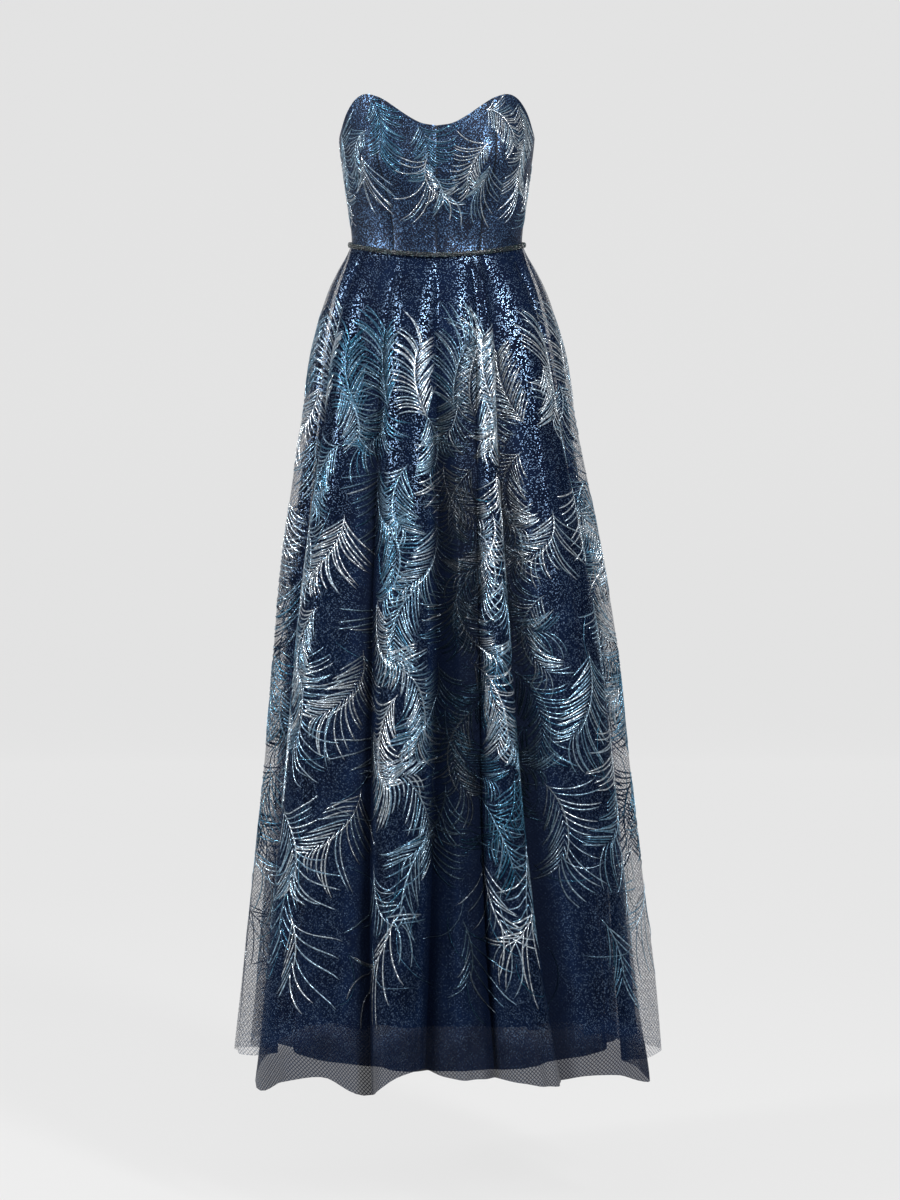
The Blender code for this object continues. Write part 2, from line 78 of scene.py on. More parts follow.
def add(tree, kind, inputs=(), stops=(), **settings):
    """Adds one node, sets its attributes, and links or sets its inputs, by name or by number. Stops are the
    (place, hex) pairs of a colour ramp."""
    node = tree.nodes.new("ShaderNode" + kind)
    for name, value in settings.items():
        setattr(node, name, value)
    for name, value in dict(inputs).items():
        if isinstance(value, bpy.types.NodeSocket):
            tree.links.new(value, node.inputs[name])
        else:
            node.inputs[name].default_value = value
    for number, (place, code) in enumerate(stops):
        elements = node.color_ramp.elements
        element = elements[number] if number < 2 else elements.new(place)
        element.position = place
        element.color = linear(code)
    return node


def new_material(name):
    """An empty node material and its output node."""
    material = bpy.data.materials.new(name)
    material.use_nodes = True
    material.node_tree.nodes.clear()
    return material, material.node_tree, add(material.node_tree, "OutputMaterial")


print("navy in linear light:", [round(c, 4) for c in linear("#1C2A4A")[:3]])

# %% [markdown]
# The gown's form is a set of sections, one for each height, as a dressmaker's measurements would give
# them: half the width, and the depth in front of and behind the side seams. The same sections shape the
# solids. A smooth cubic runs between the rows. Angles go round the waist in degrees: 0 is the centre
# front, 90 the wearer's left, 180 the centre back. Heights are in metres above the waist.

# %% Sections of the gown
Section = namedtuple("Section", "height half_width front back fold", defaults=[0.0])
TopEdge = namedtuple("TopEdge", "angle height")
Hem = namedtuple("Hem", "angle height")

BODICE = [
    Section(-0.040, 0.1275, 0.0965, 0.0925),
    Section(0.000, 0.1250, 0.0945, 0.0905),
    Section(0.045, 0.1292, 0.0990, 0.0925),
    Section(0.098, 0.1368, 0.1070, 0.0965),
    Section(0.150, 0.1432, 0.1085, 0.1005),
    Section(0.215, 0.1440, 0.0985, 0.1020),
]
NET = [
    Section(0.004, 0.1254, 0.0949, 0.0909, 0.0002),
    Section(-0.026, 0.1372, 0.1005, 0.1015, 0.0020),
    Section(-0.060, 0.1542, 0.1135, 0.1185, 0.0050),
    Section(-0.130, 0.1765, 0.1325, 0.1445, 0.0110),
    Section(-0.260, 0.2020, 0.1560, 0.1720, 0.0210),
    Section(-0.540, 0.2480, 0.2010, 0.2190, 0.0340),
    Section(-0.840, 0.2780, 0.2330, 0.2530, 0.0430),
    Section(-1.220, 0.3180, 0.2650, 0.2890, 0.0520),
]
TULLE = [
    Section(0.004, 0.1240, 0.0935, 0.0895, 0.0001),
    Section(-0.026, 0.1322, 0.0964, 0.0974, 0.0003),
    Section(-0.060, 0.1450, 0.1060, 0.1110, 0.0010),
    Section(-0.130, 0.1610, 0.1185, 0.1305, 0.0030),
    Section(-0.260, 0.1780, 0.1330, 0.1490, 0.0060),
    Section(-0.540, 0.2095, 0.1600, 0.1780, 0.0100),
    Section(-0.840, 0.2305, 0.1780, 0.1980, 0.0140),
    Section(-1.220, 0.2570, 0.1960, 0.2200, 0.0180),
]
LINING = [
    Section(0.004, 0.1226, 0.0921, 0.0881, 0.0001),
    Section(-0.026, 0.1306, 0.0948, 0.0958, 0.0003),
    Section(-0.060, 0.1422, 0.1032, 0.1082, 0.0010),
    Section(-0.130, 0.1575, 0.1150, 0.1270, 0.0030),
    Section(-0.260, 0.1735, 0.1285, 0.1445, 0.0060),
    Section(-0.540, 0.1990, 0.1530, 0.1710, 0.0100),
    Section(-0.840, 0.2150, 0.1690, 0.1890, 0.0140),
    Section(-1.220, 0.2360, 0.1840, 0.2080, 0.0180),
]
TOP_EDGE = [
    TopEdge(0, 0.163), TopEdge(9, 0.167), TopEdge(17, 0.178), TopEdge(24, 0.190), TopEdge(31, 0.201),
    TopEdge(39, 0.209), TopEdge(46, 0.2115), TopEdge(54, 0.206), TopEdge(64, 0.189), TopEdge(75, 0.165),
    TopEdge(90, 0.150), TopEdge(120, 0.139), TopEdge(150, 0.129), TopEdge(180, 0.125),
]
NET_HEM = [
    Hem(-180, -1.196), Hem(-150, -1.208), Hem(-125, -1.192), Hem(-104, -1.204), Hem(-88, -1.192),
    Hem(-78, -1.194), Hem(-66, -1.190), Hem(-59, -1.224), Hem(-48, -1.206), Hem(-37, -1.196),
    Hem(-25, -1.222), Hem(-11, -1.180), Hem(2, -1.192), Hem(18, -1.195), Hem(34, -1.206),
    Hem(54, -1.203), Hem(67, -1.220), Hem(74, -1.206), Hem(84, -1.203), Hem(105, -1.192),
    Hem(138, -1.210), Hem(180, -1.196),
]
TULLE_HEM = [Hem(-180, -1.184), Hem(-60, -1.182), Hem(0, -1.190), Hem(70, -1.180), Hem(180, -1.184)]
LINING_HEM = [Hem(-180, -1.126), Hem(-50, -1.132), Hem(0, -1.128), Hem(45, -1.132), Hem(180, -1.126)]
WAIST_DIP = 0.022
DIP_FADE = 0.300
LEAN = 0.0145
LEAN_HEIGHT = 0.750
SEAM_GAP = 0.00004


def through(x, rows, column, key="height"):
    """Values at x of one column: a smooth cubic between rows, with the rows' own mean slopes."""
    order = sorted(rows, key=lambda row: getattr(row, key))
    knots = np.array([getattr(row, key) for row in order], float)
    values = np.array([getattr(row, column) for row in order], float)
    slopes = np.gradient(values, knots)
    at = np.clip(x, knots[0], knots[-1])
    left = np.clip(np.searchsorted(knots, at) - 1, 0, len(knots) - 2)
    width = knots[left + 1] - knots[left]
    share = (at - knots[left]) / width
    rise = values[left + 1] - values[left]
    bend = share * (1 - share) * width
    tilt = slopes[left] * (1 - share) - slopes[left + 1] * share
    return values[left] + rise * share * share * (3 - 2 * share) + bend * tilt


def ease(low, high, x):
    """0 up to low, 1 from high on, and the smooth step 3t^2 - 2t^3 between."""
    t = np.clip((x - low) / (high - low), 0, 1)
    return t * t * (3 - 2 * t)


def waist_height(angle):
    """The waist seam dips at the centre front by WAIST_DIP times ((1 + cos angle) / 2) cubed."""
    return -WAIST_DIP * ((1 + np.cos(np.radians(angle))) / 2) ** 3


def oval(angle, half_width, front, back):
    """x and y on an oval whose front and back halves have their own depths."""
    turn = np.radians(angle)
    depth = np.where(np.cos(turn) > 0, front, back)
    return half_width * np.sin(turn), -depth * np.cos(turn)


print("skirt length at the centre front, m:", round(-waist_height(0) - TULLE_HEM[2].height - 0.044, 3))

# %% [markdown]
# Real cloth hangs in more than its big folds. Soft drag lines run down a tight bodice, and a net skirt
# breaks into shallow troughs and ridges that start and stop. Each is one row of a table, in the cloth's
# own coordinates: where it lies, where it starts and ends, how far it wanders sideways, how wide it is
# and how high it stands. A ridge has the profile of a bell curve, and fades in and out at its ends.

# %% Creases
Crease = namedtuple("Crease", "place start end wander width height")
CREASE_FADE = 0.35


def creased(creases, across, along):
    """Sum over creases of height times exp(-d^2), d the distance from its line in widths, times a window."""
    total = 0 * across
    for crease in creases:
        span = crease.end - crease.start
        line = crease.place + crease.wander * (along - crease.start) / span
        fade = CREASE_FADE * span
        window = ease(crease.start, crease.start + fade, along)
        window = window * (1 - ease(crease.end - fade, crease.end, along))
        total = total + crease.height * window * np.exp(-(((across - line) / crease.width) ** 2))
    return total


BODICE_CREASES = [
    Crease(-24, 0.02, 0.80, 3, 2.4, 0.0016),
    Crease(-17, 0.00, 0.62, -2, 2.0, -0.0011),
    Crease(-12, 0.10, 0.98, 4, 2.6, 0.0017),
    Crease(-5, 0.00, 0.70, -1, 2.0, -0.0012),
    Crease(5, 0.02, 0.66, 4, 2.6, 0.0014),
    Crease(13, 0.00, 0.45, -4, 2.4, -0.0012),
    Crease(20, 0.04, 0.58, 5, 2.8, 0.0015),
    Crease(27, 0.30, 0.92, -3, 2.2, 0.0010),
    Crease(-41, 0.00, 0.55, 4, 3.2, 0.0013),
    Crease(-55, 0.10, 0.70, -5, 3.6, -0.0010),
    Crease(44, 0.00, 0.60, -4, 3.0, 0.0012),
    Crease(58, 0.08, 0.74, 6, 3.6, -0.0011),
    Crease(76, 0.00, 0.50, 3, 3.4, 0.0012),
    Crease(-78, 0.02, 0.64, -4, 3.4, 0.0012),
    Crease(104, 0.05, 0.80, 5, 4.0, 0.0013),
    Crease(-108, 0.00, 0.70, -3, 4.0, 0.0012),
    Crease(128, 0.00, 0.55, -6, 3.6, -0.0010),
    Crease(-132, 0.05, 0.60, 5, 3.4, 0.0011),
    Crease(160, 0.00, 0.75, -3, 3.0, 0.0012),
    Crease(-163, 0.02, 0.68, 3, 3.2, 0.0013),
]
print(len(BODICE_CREASES), "drag lines on the bodice")

# %% [markdown]
# The bodice is cut to stand out over the bust without a wearer. Two bell-shaped swells on the sections do
# that. The panel seams sit a little below the surface, because the stitches pull the cloth in.

# %% The bodice surface
CUP_SWELL = 0.019
CUP_ANGLE = 34.0
CUP_SPREAD = 21.0
CUP_HEIGHT = 0.122
CUP_RISE = 0.052
SEAM_RADIUS = 0.125
SEAM_SINK = 0.0014
SEAM_SPREAD = 0.0035

Panel = namedtuple("Panel", "name waist_from waist_to top_from top_to columns")
PANELS = [
    Panel("bodice_front", 0, 30, 0, 34, 26),
    Panel("bodice_side_front", 30, 92, 34, 90, 48),
    Panel("bodice_side_back", 92, 148, 90, 146, 34),
    Panel("bodice_back", 148, 180, 146, 180, 20),
]
PANEL_ROWS = 64


def bodice(angle, share, lift=0.0):
    """Outer face of the bodice at a share of the way from the waist seam to the top edge: the section at that
    height, plus a swell over each cup, plus the creases, less the sink at each seam, plus lift."""
    low = waist_height(angle) + SEAM_GAP / 2
    high = through(np.abs(angle), TOP_EDGE, "height", key="angle")
    height = low + share * (high - low)
    off = lift + creased(BODICE_CREASES, angle, share)
    for side in (-1, 1):
        over = (angle - side * CUP_ANGLE) / CUP_SPREAD
        up = (height - CUP_HEIGHT) / CUP_RISE
        off = off + CUP_SWELL * np.exp(-(over**2) - up**2)
    for panel in PANELS:
        seam = panel.waist_from + share * (panel.top_from - panel.waist_from)
        away = np.radians(np.abs(angle) - seam) * SEAM_RADIUS
        off = off - SEAM_SINK * np.exp(-((away / SEAM_SPREAD) ** 2))
    x, y = oval(angle, *(through(height, BODICE, name) + off for name in ("half_width", "front", "back")))
    return np.stack([x, y, height + 0 * x], axis=-1)


print("cup tip at", bodice(np.array([CUP_ANGLE]), np.array([0.6])).round(3).tolist())

# %% [markdown]
# The skirt is pleated into the waist. Between two valleys the cloth rises in a round fold, which opens as it
# falls. Some folds lean to one side, and one near the centre front stays low in the shade between its
# neighbours, where painted shade darkens it further. The place on the cloth is given by a fold number,
# counted round from the centre back, and by the share of the way down to the hem.

# %% The skirt surface
Valley = namedtuple("Valley", "waist middle hem")
Crest = namedtuple("Crest", "middle hem lean")
Layer = namedtuple("Layer", "sections hem creases tuck flute")

VALLEYS = [
    Valley(-180, -180, -180), Valley(-150, -149, -151), Valley(-121, -121, -124), Valley(-90, -96, -99),
    Valley(-57, -69, -71), Valley(-27, -29, -24), Valley(0, -3, -7), Valley(22, 13, 15), Valley(31, 25, 38),
    Valley(60, 75, 78), Valley(90, 99, 103), Valley(119, 124, 127), Valley(150, 149, 151),
    Valley(180, 180, 180),
]
CRESTS = [
    Crest(0.90, 1.00, 1.10), Crest(1.10, 0.95, 0.90), Crest(0.85, 1.05, 1.00), Crest(1.00, 1.00, 0.90),
    Crest(1.00, 1.05, 0.75), Crest(1.05, 1.00, 1.15), Crest(0.10, 0.30, 1.00), Crest(1.00, 0.95, 0.90),
    Crest(1.00, 1.00, 1.45), Crest(0.95, 1.05, 1.05), Crest(0.95, 1.05, 1.10), Crest(1.10, 0.90, 0.90),
    Crest(0.85, 1.00, 1.00),
]
FOLDS = len(CRESTS)
MIDDLE = 0.45
ROUNDNESS = 1.1
FLUTES_PER_FOLD = 2.9
FLUTE_DRIFT = 0.35

# Ridges and troughs of the net. Place, wander and width are in folds, start and end are shares of the way
# down the skirt, and height is in metres.
NET_CREASES = [
    Crease(3.45, 0.10, 0.55, 0.10, 0.09, 0.0040),
    Crease(3.70, 0.50, 1.05, -0.15, 0.08, 0.0055),
    Crease(4.25, 0.06, 0.42, 0.12, 0.07, -0.0035),
    Crease(4.55, 0.20, 0.80, -0.12, 0.06, 0.0040),
    Crease(4.82, 0.58, 1.05, -0.10, 0.10, -0.0090),
    Crease(4.30, 0.62, 1.05, 0.10, 0.06, 0.0050),
    Crease(5.20, 0.04, 0.36, 0.10, 0.06, 0.0030),
    Crease(5.55, 0.25, 0.95, 0.12, 0.07, -0.0040),
    Crease(5.72, 0.40, 1.05, -0.08, 0.05, 0.0045),
    Crease(6.40, 0.15, 0.60, 0.15, 0.10, 0.0030),
    Crease(6.55, 0.60, 1.05, -0.15, 0.12, 0.0050),
    Crease(7.35, 0.30, 0.78, 0.10, 0.10, 0.0035),
    Crease(7.60, 0.62, 1.05, -0.10, 0.08, -0.0045),
    Crease(8.22, 0.55, 1.05, 0.10, 0.09, -0.0095),
    Crease(8.45, 0.10, 0.60, -0.12, 0.06, 0.0040),
    Crease(8.62, 0.34, 0.90, 0.06, 0.05, -0.0030),
    Crease(8.78, 0.06, 0.46, -0.08, 0.05, 0.0030),
    Crease(9.30, 0.12, 0.66, 0.12, 0.08, 0.0040),
    Crease(9.66, 0.50, 1.05, -0.12, 0.08, 0.0050),
    Crease(0.35, 0.08, 0.58, 0.14, 0.07, 0.0045),
    Crease(0.68, 0.42, 1.05, -0.12, 0.08, -0.0050),
    Crease(1.30, 0.18, 0.74, -0.10, 0.06, 0.0040),
    Crease(1.62, 0.06, 0.40, 0.10, 0.07, -0.0035),
    Crease(2.42, 0.30, 1.05, 0.12, 0.07, 0.0050),
    Crease(2.70, 0.08, 0.50, -0.10, 0.06, 0.0035),
    Crease(10.28, 0.10, 0.52, 0.12, 0.06, -0.0035),
    Crease(10.60, 0.36, 1.05, -0.10, 0.07, 0.0050),
    Crease(11.34, 0.06, 0.62, 0.10, 0.06, 0.0040),
    Crease(11.66, 0.54, 1.05, 0.08, 0.08, -0.0055),
    Crease(12.32, 0.14, 0.70, -0.12, 0.07, 0.0045),
    Crease(12.66, 0.46, 1.05, 0.10, 0.07, 0.0045),
    Crease(3.95, 0.90, 1.12, 0.50, 0.10, 0.0070),
    Crease(4.75, 0.90, 1.12, -0.45, 0.08, 0.0060),
    Crease(8.86, 0.91, 1.12, -0.40, 0.08, 0.0060),
    Crease(5.15, 0.93, 1.12, 0.35, 0.07, 0.0050),
]
UNDER_CREASES = [
    Crease(number + 0.3 + 0.4 * (number % 3) / 2, 0.15 + 0.05 * (number % 4), 1.05, 0.1, 0.12, 0.0025)
    for number in range(FOLDS)
]


def valley_angle(number, share):
    """Angle of a valley: the parabola through its angles at the waist, at MIDDLE and at the hem."""
    waist, middle, hem = np.moveaxis(np.array(VALLEYS, float)[number], -1, 0)
    first = waist * (share - MIDDLE) * (share - 1) / MIDDLE
    second = middle * share * (share - 1) / (MIDDLE * (MIDDLE - 1))
    return first + second + hem * share * (share - MIDDLE) / (1 - MIDDLE)


def crest_rise(fold, share):
    """Height of a fold at each place, as a share of its layer's fold depth: reach times (4v(1 - v)) to the
    power ROUNDNESS, where v is the place between two valleys, to the power of the crest's lean."""
    number = np.clip(np.floor(fold).astype(int), 0, FOLDS - 1)
    middle, low, lean = np.moveaxis(np.array(CRESTS, float)[number], -1, 0)
    v = np.clip(fold - number, 0, 1) ** lean
    reach = middle + (low - middle) * ease(MIDDLE, 1, share)
    return reach * (4 * v * (1 - v)) ** ROUNDNESS


SIDE_SEAMS = (3, 10)
# How far the front hem counts as gathered: a denser net there, and painted shade.
HEM_GATHER_AND_SHADE = 0.82


def gathered(fold, share):
    """1 in a valley, where the pleat lies three deep, and 0 near the top of its crest: one less a smooth step
    of the crest's rise. The value sets how much light the net stops, and also the painted shade that darkens
    the net and its yarn in the valleys. The valleys are shallow near the waist and open low down at the side
    seams, and count for less there. The front hem bunches, and counts as mostly gathered, so it is denser and
    darkened by painted shade."""
    depth = 1 - ease(0.03, 0.66, crest_rise(fold, share))
    depth = depth * (0.35 + 0.65 * ease(0.04, 0.30, share))
    near = sum(np.exp(-(((fold - seam) / 0.3) ** 2)) for seam in SIDE_SEAMS)
    depth = depth * (1 - 0.6 * near * ease(0.5, 0.8, share))
    front = ease(3.8, 4.4, fold) * (1 - ease(8.6, 9.2, fold))
    # The front hem band: denser net and painted shade, as if gathered.
    return np.maximum(depth, HEM_GATHER_AND_SHADE * front * ease(0.92, 0.965, share))


def skirt(layer, fold, share, lift=0.0):
    """Outer face of a skirt layer: the oval of the section at each height, widened all round by an offset.
    The offset is lift, plus the fold depth times (rise - 1), plus tucks that stand prouder near the waist,
    plus the creases, plus a sine wave that flutes the hem. Lower down the section moves LEAN to the left."""
    number = np.clip(np.floor(fold).astype(int), 0, FOLDS - 1)
    u = np.clip(fold - number, 0, 1)
    first = valley_angle(number, share)
    angle = first + (fold - number) * (valley_angle(number + 1, share) - first)
    top = waist_height(angle) - SEAM_GAP / 2
    height = top + share * (through(angle, layer.hem, "height", key="angle") - top)
    rise = crest_rise(fold, share)
    bulge = (4 * u * (1 - u)) ** ROUNDNESS
    below = height - waist_height(angle) * (1 - ease(0, DIP_FADE, -height))
    off = lift + through(below, layer.sections, "fold") * (rise - 1)
    off = off + layer.tuck * bulge**0.6 * ease(0, 0.03, share) * (1 - ease(0.12, 0.24, share))
    off = off + creased(layer.creases, fold, share) * (0.15 + 0.85 * bulge)
    turns = FLUTES_PER_FOLD * fold + 0.4 * np.sin(1.7 * fold) - FLUTE_DRIFT * share
    waves = np.sin(2 * np.pi * turns)
    off = off + layer.flute * waves * ease(0.72, 1, share) * (0.3 + 0.7 * bulge)
    sizes = (through(below, layer.sections, name) + off for name in ("half_width", "front", "back"))
    x, y = oval(angle, *sizes)
    return np.stack([x + LEAN * ease(0, LEAN_HEIGHT, -height), y, height], axis=-1)


NET_LAYER = Layer(NET, NET_HEM, NET_CREASES, 0.0060, 0.0035)
TULLE_LAYER = Layer(TULLE, TULLE_HEM, UNDER_CREASES, 0.0, 0.0015)
LINING_LAYER = Layer(LINING, LINING_HEM, [], 0.0, 0.0)
print(len(NET_CREASES), "creases on the net,", FOLDS, "folds")

# %% [markdown]
# A sheet of cloth becomes a mesh in three steps: points on a grid, a second grid one wall's thickness
# behind it, and a rim that joins the two. Each point also keeps its place on the flat cloth, in metres,
# as a UV map, so that net and weave keep their true size and follow the folds.

# %% From a surface to a mesh
SHARP_EDGE = 60


def outward(sheet, across, along, steps):
    """Unit normals of a sheet, from the cross product of its two slopes, turned away from the wearer. Steps
    are the small probes, across and along, over which the slopes are measured."""
    side = sheet(across + steps[0], along) - sheet(across - steps[0], along)
    down = sheet(across, np.minimum(along + steps[1], 1)) - sheet(across, np.maximum(along - steps[1], 0))
    normal = np.cross(side, down)
    normal /= np.linalg.norm(normal, axis=-1, keepdims=True)
    away = np.sum(normal[..., :2] * sheet(across, along)[..., :2], axis=-1, keepdims=True)
    return normal * np.where(away < 0, -1, 1)


def flat_place(grid):
    """Place of each point on the flat cloth: distance along its row from the row's middle, and down its
    column from the top, both as running sums of the edges' lengths."""
    run = np.linalg.norm(np.diff(grid, axis=1), axis=-1)
    run = np.concatenate([np.zeros((grid.shape[0], 1)), np.cumsum(run, axis=1)], axis=1)
    run = run - run[:, run.shape[1] // 2, None]
    drop = np.linalg.norm(np.diff(grid, axis=0), axis=-1)
    drop = np.concatenate([np.zeros((1, grid.shape[1])), np.cumsum(drop, axis=0)], axis=0)
    return np.stack([run, drop], axis=-1)


def mesh_piece(name, points, faces, materials, uv=None, numbers=None, **values):
    """An object of these points and faces, smooth-shaded, with a UV place and named values at its points."""
    mesh = bpy.data.meshes.new(name)
    mesh.from_pydata(points.tolist(), [], faces)
    for material in materials:
        mesh.materials.append(material)
    if numbers is not None:
        mesh.polygons.foreach_set("material_index", numbers)
    if uv is not None:
        corners = np.empty(len(mesh.loops), int)
        mesh.loops.foreach_get("vertex_index", corners)
        mesh.uv_layers.new(name="cloth").data.foreach_set("uv", uv[corners].ravel())
    for key, value in values.items():
        mesh.attributes.new(key, "FLOAT", "POINT").data.foreach_set("value", value)
    mesh.shade_smooth()
    piece = bpy.data.objects.new(name, mesh)
    bpy.context.scene.collection.objects.link(piece)
    return piece


def wall(name, outer, inner, face, back, **values):
    """A closed wall between two grids, with a rim round its four edges, faced in one material and backed in
    another. The faces point away from the wall."""
    rows, columns = outer.shape[:2]
    index = np.arange(rows * columns).reshape(rows, columns)
    quads = np.stack([index[:-1, :-1], index[:-1, 1:], index[1:, 1:], index[1:, :-1]], axis=-1).reshape(-1, 4)
    edge = np.concatenate([index[0, :-1], index[:-1, -1], index[-1, :0:-1], index[:0:-1, 0]])
    after = np.roll(edge, -1)
    rim = np.stack([after, edge, edge + rows * columns, after + rows * columns], axis=-1)
    faces = np.concatenate([quads, quads[:, ::-1] + rows * columns, rim])
    a, b, d = outer[0, 0], outer[0, 1], outer[1, 0]
    if np.dot(np.cross(b - a, d - a), outer[0, 0] - inner[0, 0]) < 0:
        faces = faces[:, ::-1]
    points = np.concatenate([outer.reshape(-1, 3), inner.reshape(-1, 3)])
    place = flat_place(outer).reshape(-1, 2) + rng.uniform(0, 4, 2)
    numbers = np.repeat([0, 1, 0], [len(quads), len(quads), len(rim)])
    uv = np.concatenate([place, place])
    values = {key: np.tile(value.ravel(), 2) for key, value in values.items()}
    piece = mesh_piece(name, points, faces.tolist(), [face, back], uv, numbers, **values)
    piece.data.set_sharp_from_angle(angle=np.radians(SHARP_EDGE))
    return piece


def declare(piece, node):
    """Rides the piece on the gown and hides the solid it stands for."""
    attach(piece, "gown")
    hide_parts(node)


print("surface tools ready")

# %% [markdown]
# Net is a hexagonal mesh of fine nylon thread. Its holes are about 1.5 mm wide, which is smaller than a
# dot of the picture, so the mesh is drawn at 4 mm. Seen against a pale wall it is a grey veil, and over
# the dark lining it is a dusty navy with points of light where a metallic filament turns to the lamp. A
# Voronoi pattern gives the cells, and a second one picks a few cells as flecks. The flecks are 1 mm, also
# coarser than real ones, so that they show. Where a cell is open, the shader lets light through.

# %% Net, nylon, knitted
NET_CELL = 0.0040
NET_TURN = 0.785
NET_DISORDER = 0.12
THREAD_WIDTH = 0.09
STRETCHED_THREAD_WIDTH = 0.16
FLECK = 0.0010


def cloth_place(tree):
    """The place on the flat cloth, in metres."""
    return add(tree, "UVMap", uv_map="cloth").outputs["UV"]


def net_thread(tree, place, width):
    """1 on the threads of the net and 0 in its holes. The width is in cells, out from the line between two
    cells, and a thread's edge is blurred over a further 0.6 of it."""
    turned = add(tree, "Mapping", {"Vector": place, "Rotation": (0, 0, NET_TURN)}).outputs["Vector"]
    pattern = {"Vector": turned, "Scale": 1 / NET_CELL, "Randomness": NET_DISORDER}
    cells = add(tree, "TexVoronoi", pattern, voronoi_dimensions="2D", feature="DISTANCE_TO_EDGE")
    edge = {"Value": cells.outputs["Distance"], "From Min": width, "From Max": width * 1.6}
    return add(tree, "MapRange", edge | {"To Min": 1, "To Max": 0}).outputs["Result"]


def flecks(tree, place, size, share):
    """1 on a random share of small cells, the turned bits of a metallic filament, and 0 elsewhere."""
    cells = add(tree, "TexVoronoi", {"Vector": place, "Scale": 1 / size}, voronoi_dimensions="2D")
    split = add(tree, "SeparateColor", {"Color": cells.outputs["Color"]})
    return add(tree, "Math", {0: split.outputs[0], 1: 1 - share}, operation="GREATER_THAN").outputs[0]


def net_material(name, thread, hole_cover, thread_cover, fleck_share):
    """Net of one thread colour. Cover is how much of the light a thread and a hole stop. Where the cloth is
    gathered it lies three deep, so it lets less through, and painted shade darkens it towards near black in
    the valleys. The flecks are painted dimmer low down, as painted shade for the folds that turn them from
    the light."""
    material, tree, output = new_material(name)
    place = cloth_place(tree)
    gather = add(tree, "Attribute", attribute_name="gather").outputs["Fac"]
    threads = net_thread(tree, place, THREAD_WIDTH)
    shine = flecks(tree, place, FLECK, fleck_share)
    # Painted shade: the flecks are dimmed from the waist down, by height alone.
    height = add(tree, "SeparateXYZ", {"Vector": add(tree, "TexCoord").outputs["Object"]}).outputs["Z"]
    painted_fleck_shade = {"Value": height, "From Min": -0.70, "From Max": -0.12, "To Min": 0.55, "To Max": 1}
    painted_fleck_shade = add(tree, "MapRange", painted_fleck_shade).outputs["Result"]
    shine = add(tree, "Math", {0: shine, 1: painted_fleck_shade}, operation="MULTIPLY").outputs[0]
    soft = add(tree, "TexNoise", {"Vector": place, "Scale": 22.0, "Detail": 3.0}).outputs["Fac"]
    body = add(tree, "ValToRGB", {"Fac": soft}, [(0.3, thread[0]), (0.7, thread[1])]).outputs["Color"]
    mix = {"Factor": shine, "A": body, "B": linear("#6A819C")}
    colour = add(tree, "Mix", mix, data_type="RGBA").outputs["Result"]
    # Painted shade: gathered valleys are mixed towards near black #040B1C.
    shade = {"Value": gather, "From Min": 0.4, "To Min": 0, "To Max": 0.92}
    shade = add(tree, "MapRange", shade).outputs["Result"]
    mix = {"Factor": shade, "A": colour, "B": linear("#040B1C")}
    colour = add(tree, "Mix", mix, data_type="RGBA").outputs["Result"]
    rough = add(tree, "MapRange", {"Value": shine, "To Min": 0.60, "To Max": 0.32}).outputs["Result"]
    metal = add(tree, "MapRange", {"Value": shine, "To Min": 0.0, "To Max": 0.9}).outputs["Result"]
    inputs = {"Base Color": colour, "Roughness": rough, "Metallic": metal, "Specular IOR Level": 0.04}
    shader = add(tree, "BsdfPrincipled", inputs).outputs[0]
    single = {"Value": threads, "To Min": hole_cover, "To Max": thread_cover}
    single = {"Value": shine, "To Min": add(tree, "MapRange", single).outputs["Result"], "To Max": 0.8}
    single = add(tree, "MapRange", single).outputs["Result"]
    # Where gathered, the net lies three deep and stops more light; this part is real cover, not shade.
    deep = {"Value": threads, "To Min": max(hole_cover, 0.60), "To Max": 0.96}
    deep = add(tree, "MapRange", deep).outputs["Result"]
    cover = add(tree, "MapRange", {"Value": gather, "To Min": single, "To Max": deep}).outputs["Result"]
    clear = add(tree, "BsdfTransparent").outputs[0]
    veil = add(tree, "MixShader", {0: cover, 1: clear, 2: shader}).outputs[0]
    tree.links.new(veil, output.inputs["Surface"])
    return material


skirt_net = net_material("embroidered net, navy nylon", ("#09142B", "#10213E"), 0.05, 0.38, 0.10)
tulle_net = net_material("soft tulle, navy nylon", ("#060E1E", "#0B1830"), 0.72, 0.95, 0.0)
print("net cells of", NET_CELL * 1000, "mm")

# %% [markdown]
# The lining is crepe, a matt cloth of tightly twisted yarn with a fine pebbled surface. It is near black
# with a breath of blue, and a little sheen at the edges of the folds keeps it from looking like paper.
# Its pebbles are about half a millimetre wide and are drawn at 1.6 mm, so that they show.

# %% Crepe, woven
CREPE_GRAIN = 0.0016


def crepe_material(name, dark, light):
    """Crepe: two close colours mottled by a fine noise, which also raises the grain."""
    material, tree, output = new_material(name)
    place = cloth_place(tree)
    grain = add(tree, "TexNoise", {"Vector": place, "Scale": 1 / CREPE_GRAIN, "Detail": 2.0}).outputs["Fac"]
    raised = add(tree, "Bump", {"Height": grain, "Distance": 0.0002, "Strength": 0.5}).outputs["Normal"]
    colour = add(tree, "ValToRGB", {"Fac": grain}, [(0.3, dark), (0.7, light)]).outputs["Color"]
    inputs = {"Base Color": colour, "Normal": raised}
    inputs |= {"Roughness": 0.70, "Sheen Weight": 0.04, "Sheen Roughness": 0.4, "Specular IOR Level": 0.05}
    shader = add(tree, "BsdfPrincipled", inputs)
    tree.links.new(shader.outputs[0], output.inputs["Surface"])
    return material


crepe = crepe_material("lining crepe, woven", "#03060C", "#070D18")
print("crepe grain", CREPE_GRAIN * 1000, "mm")

# %% [markdown]
# On the bodice the net lies flat on its lining, so nothing shows through and the two can be one opaque
# finish: dark crepe in the holes, navy thread over it, and many more flecks, because the net is stretched
# tight and its metallic filaments lie towards the light. The drag lines then catch it in bright streaks.

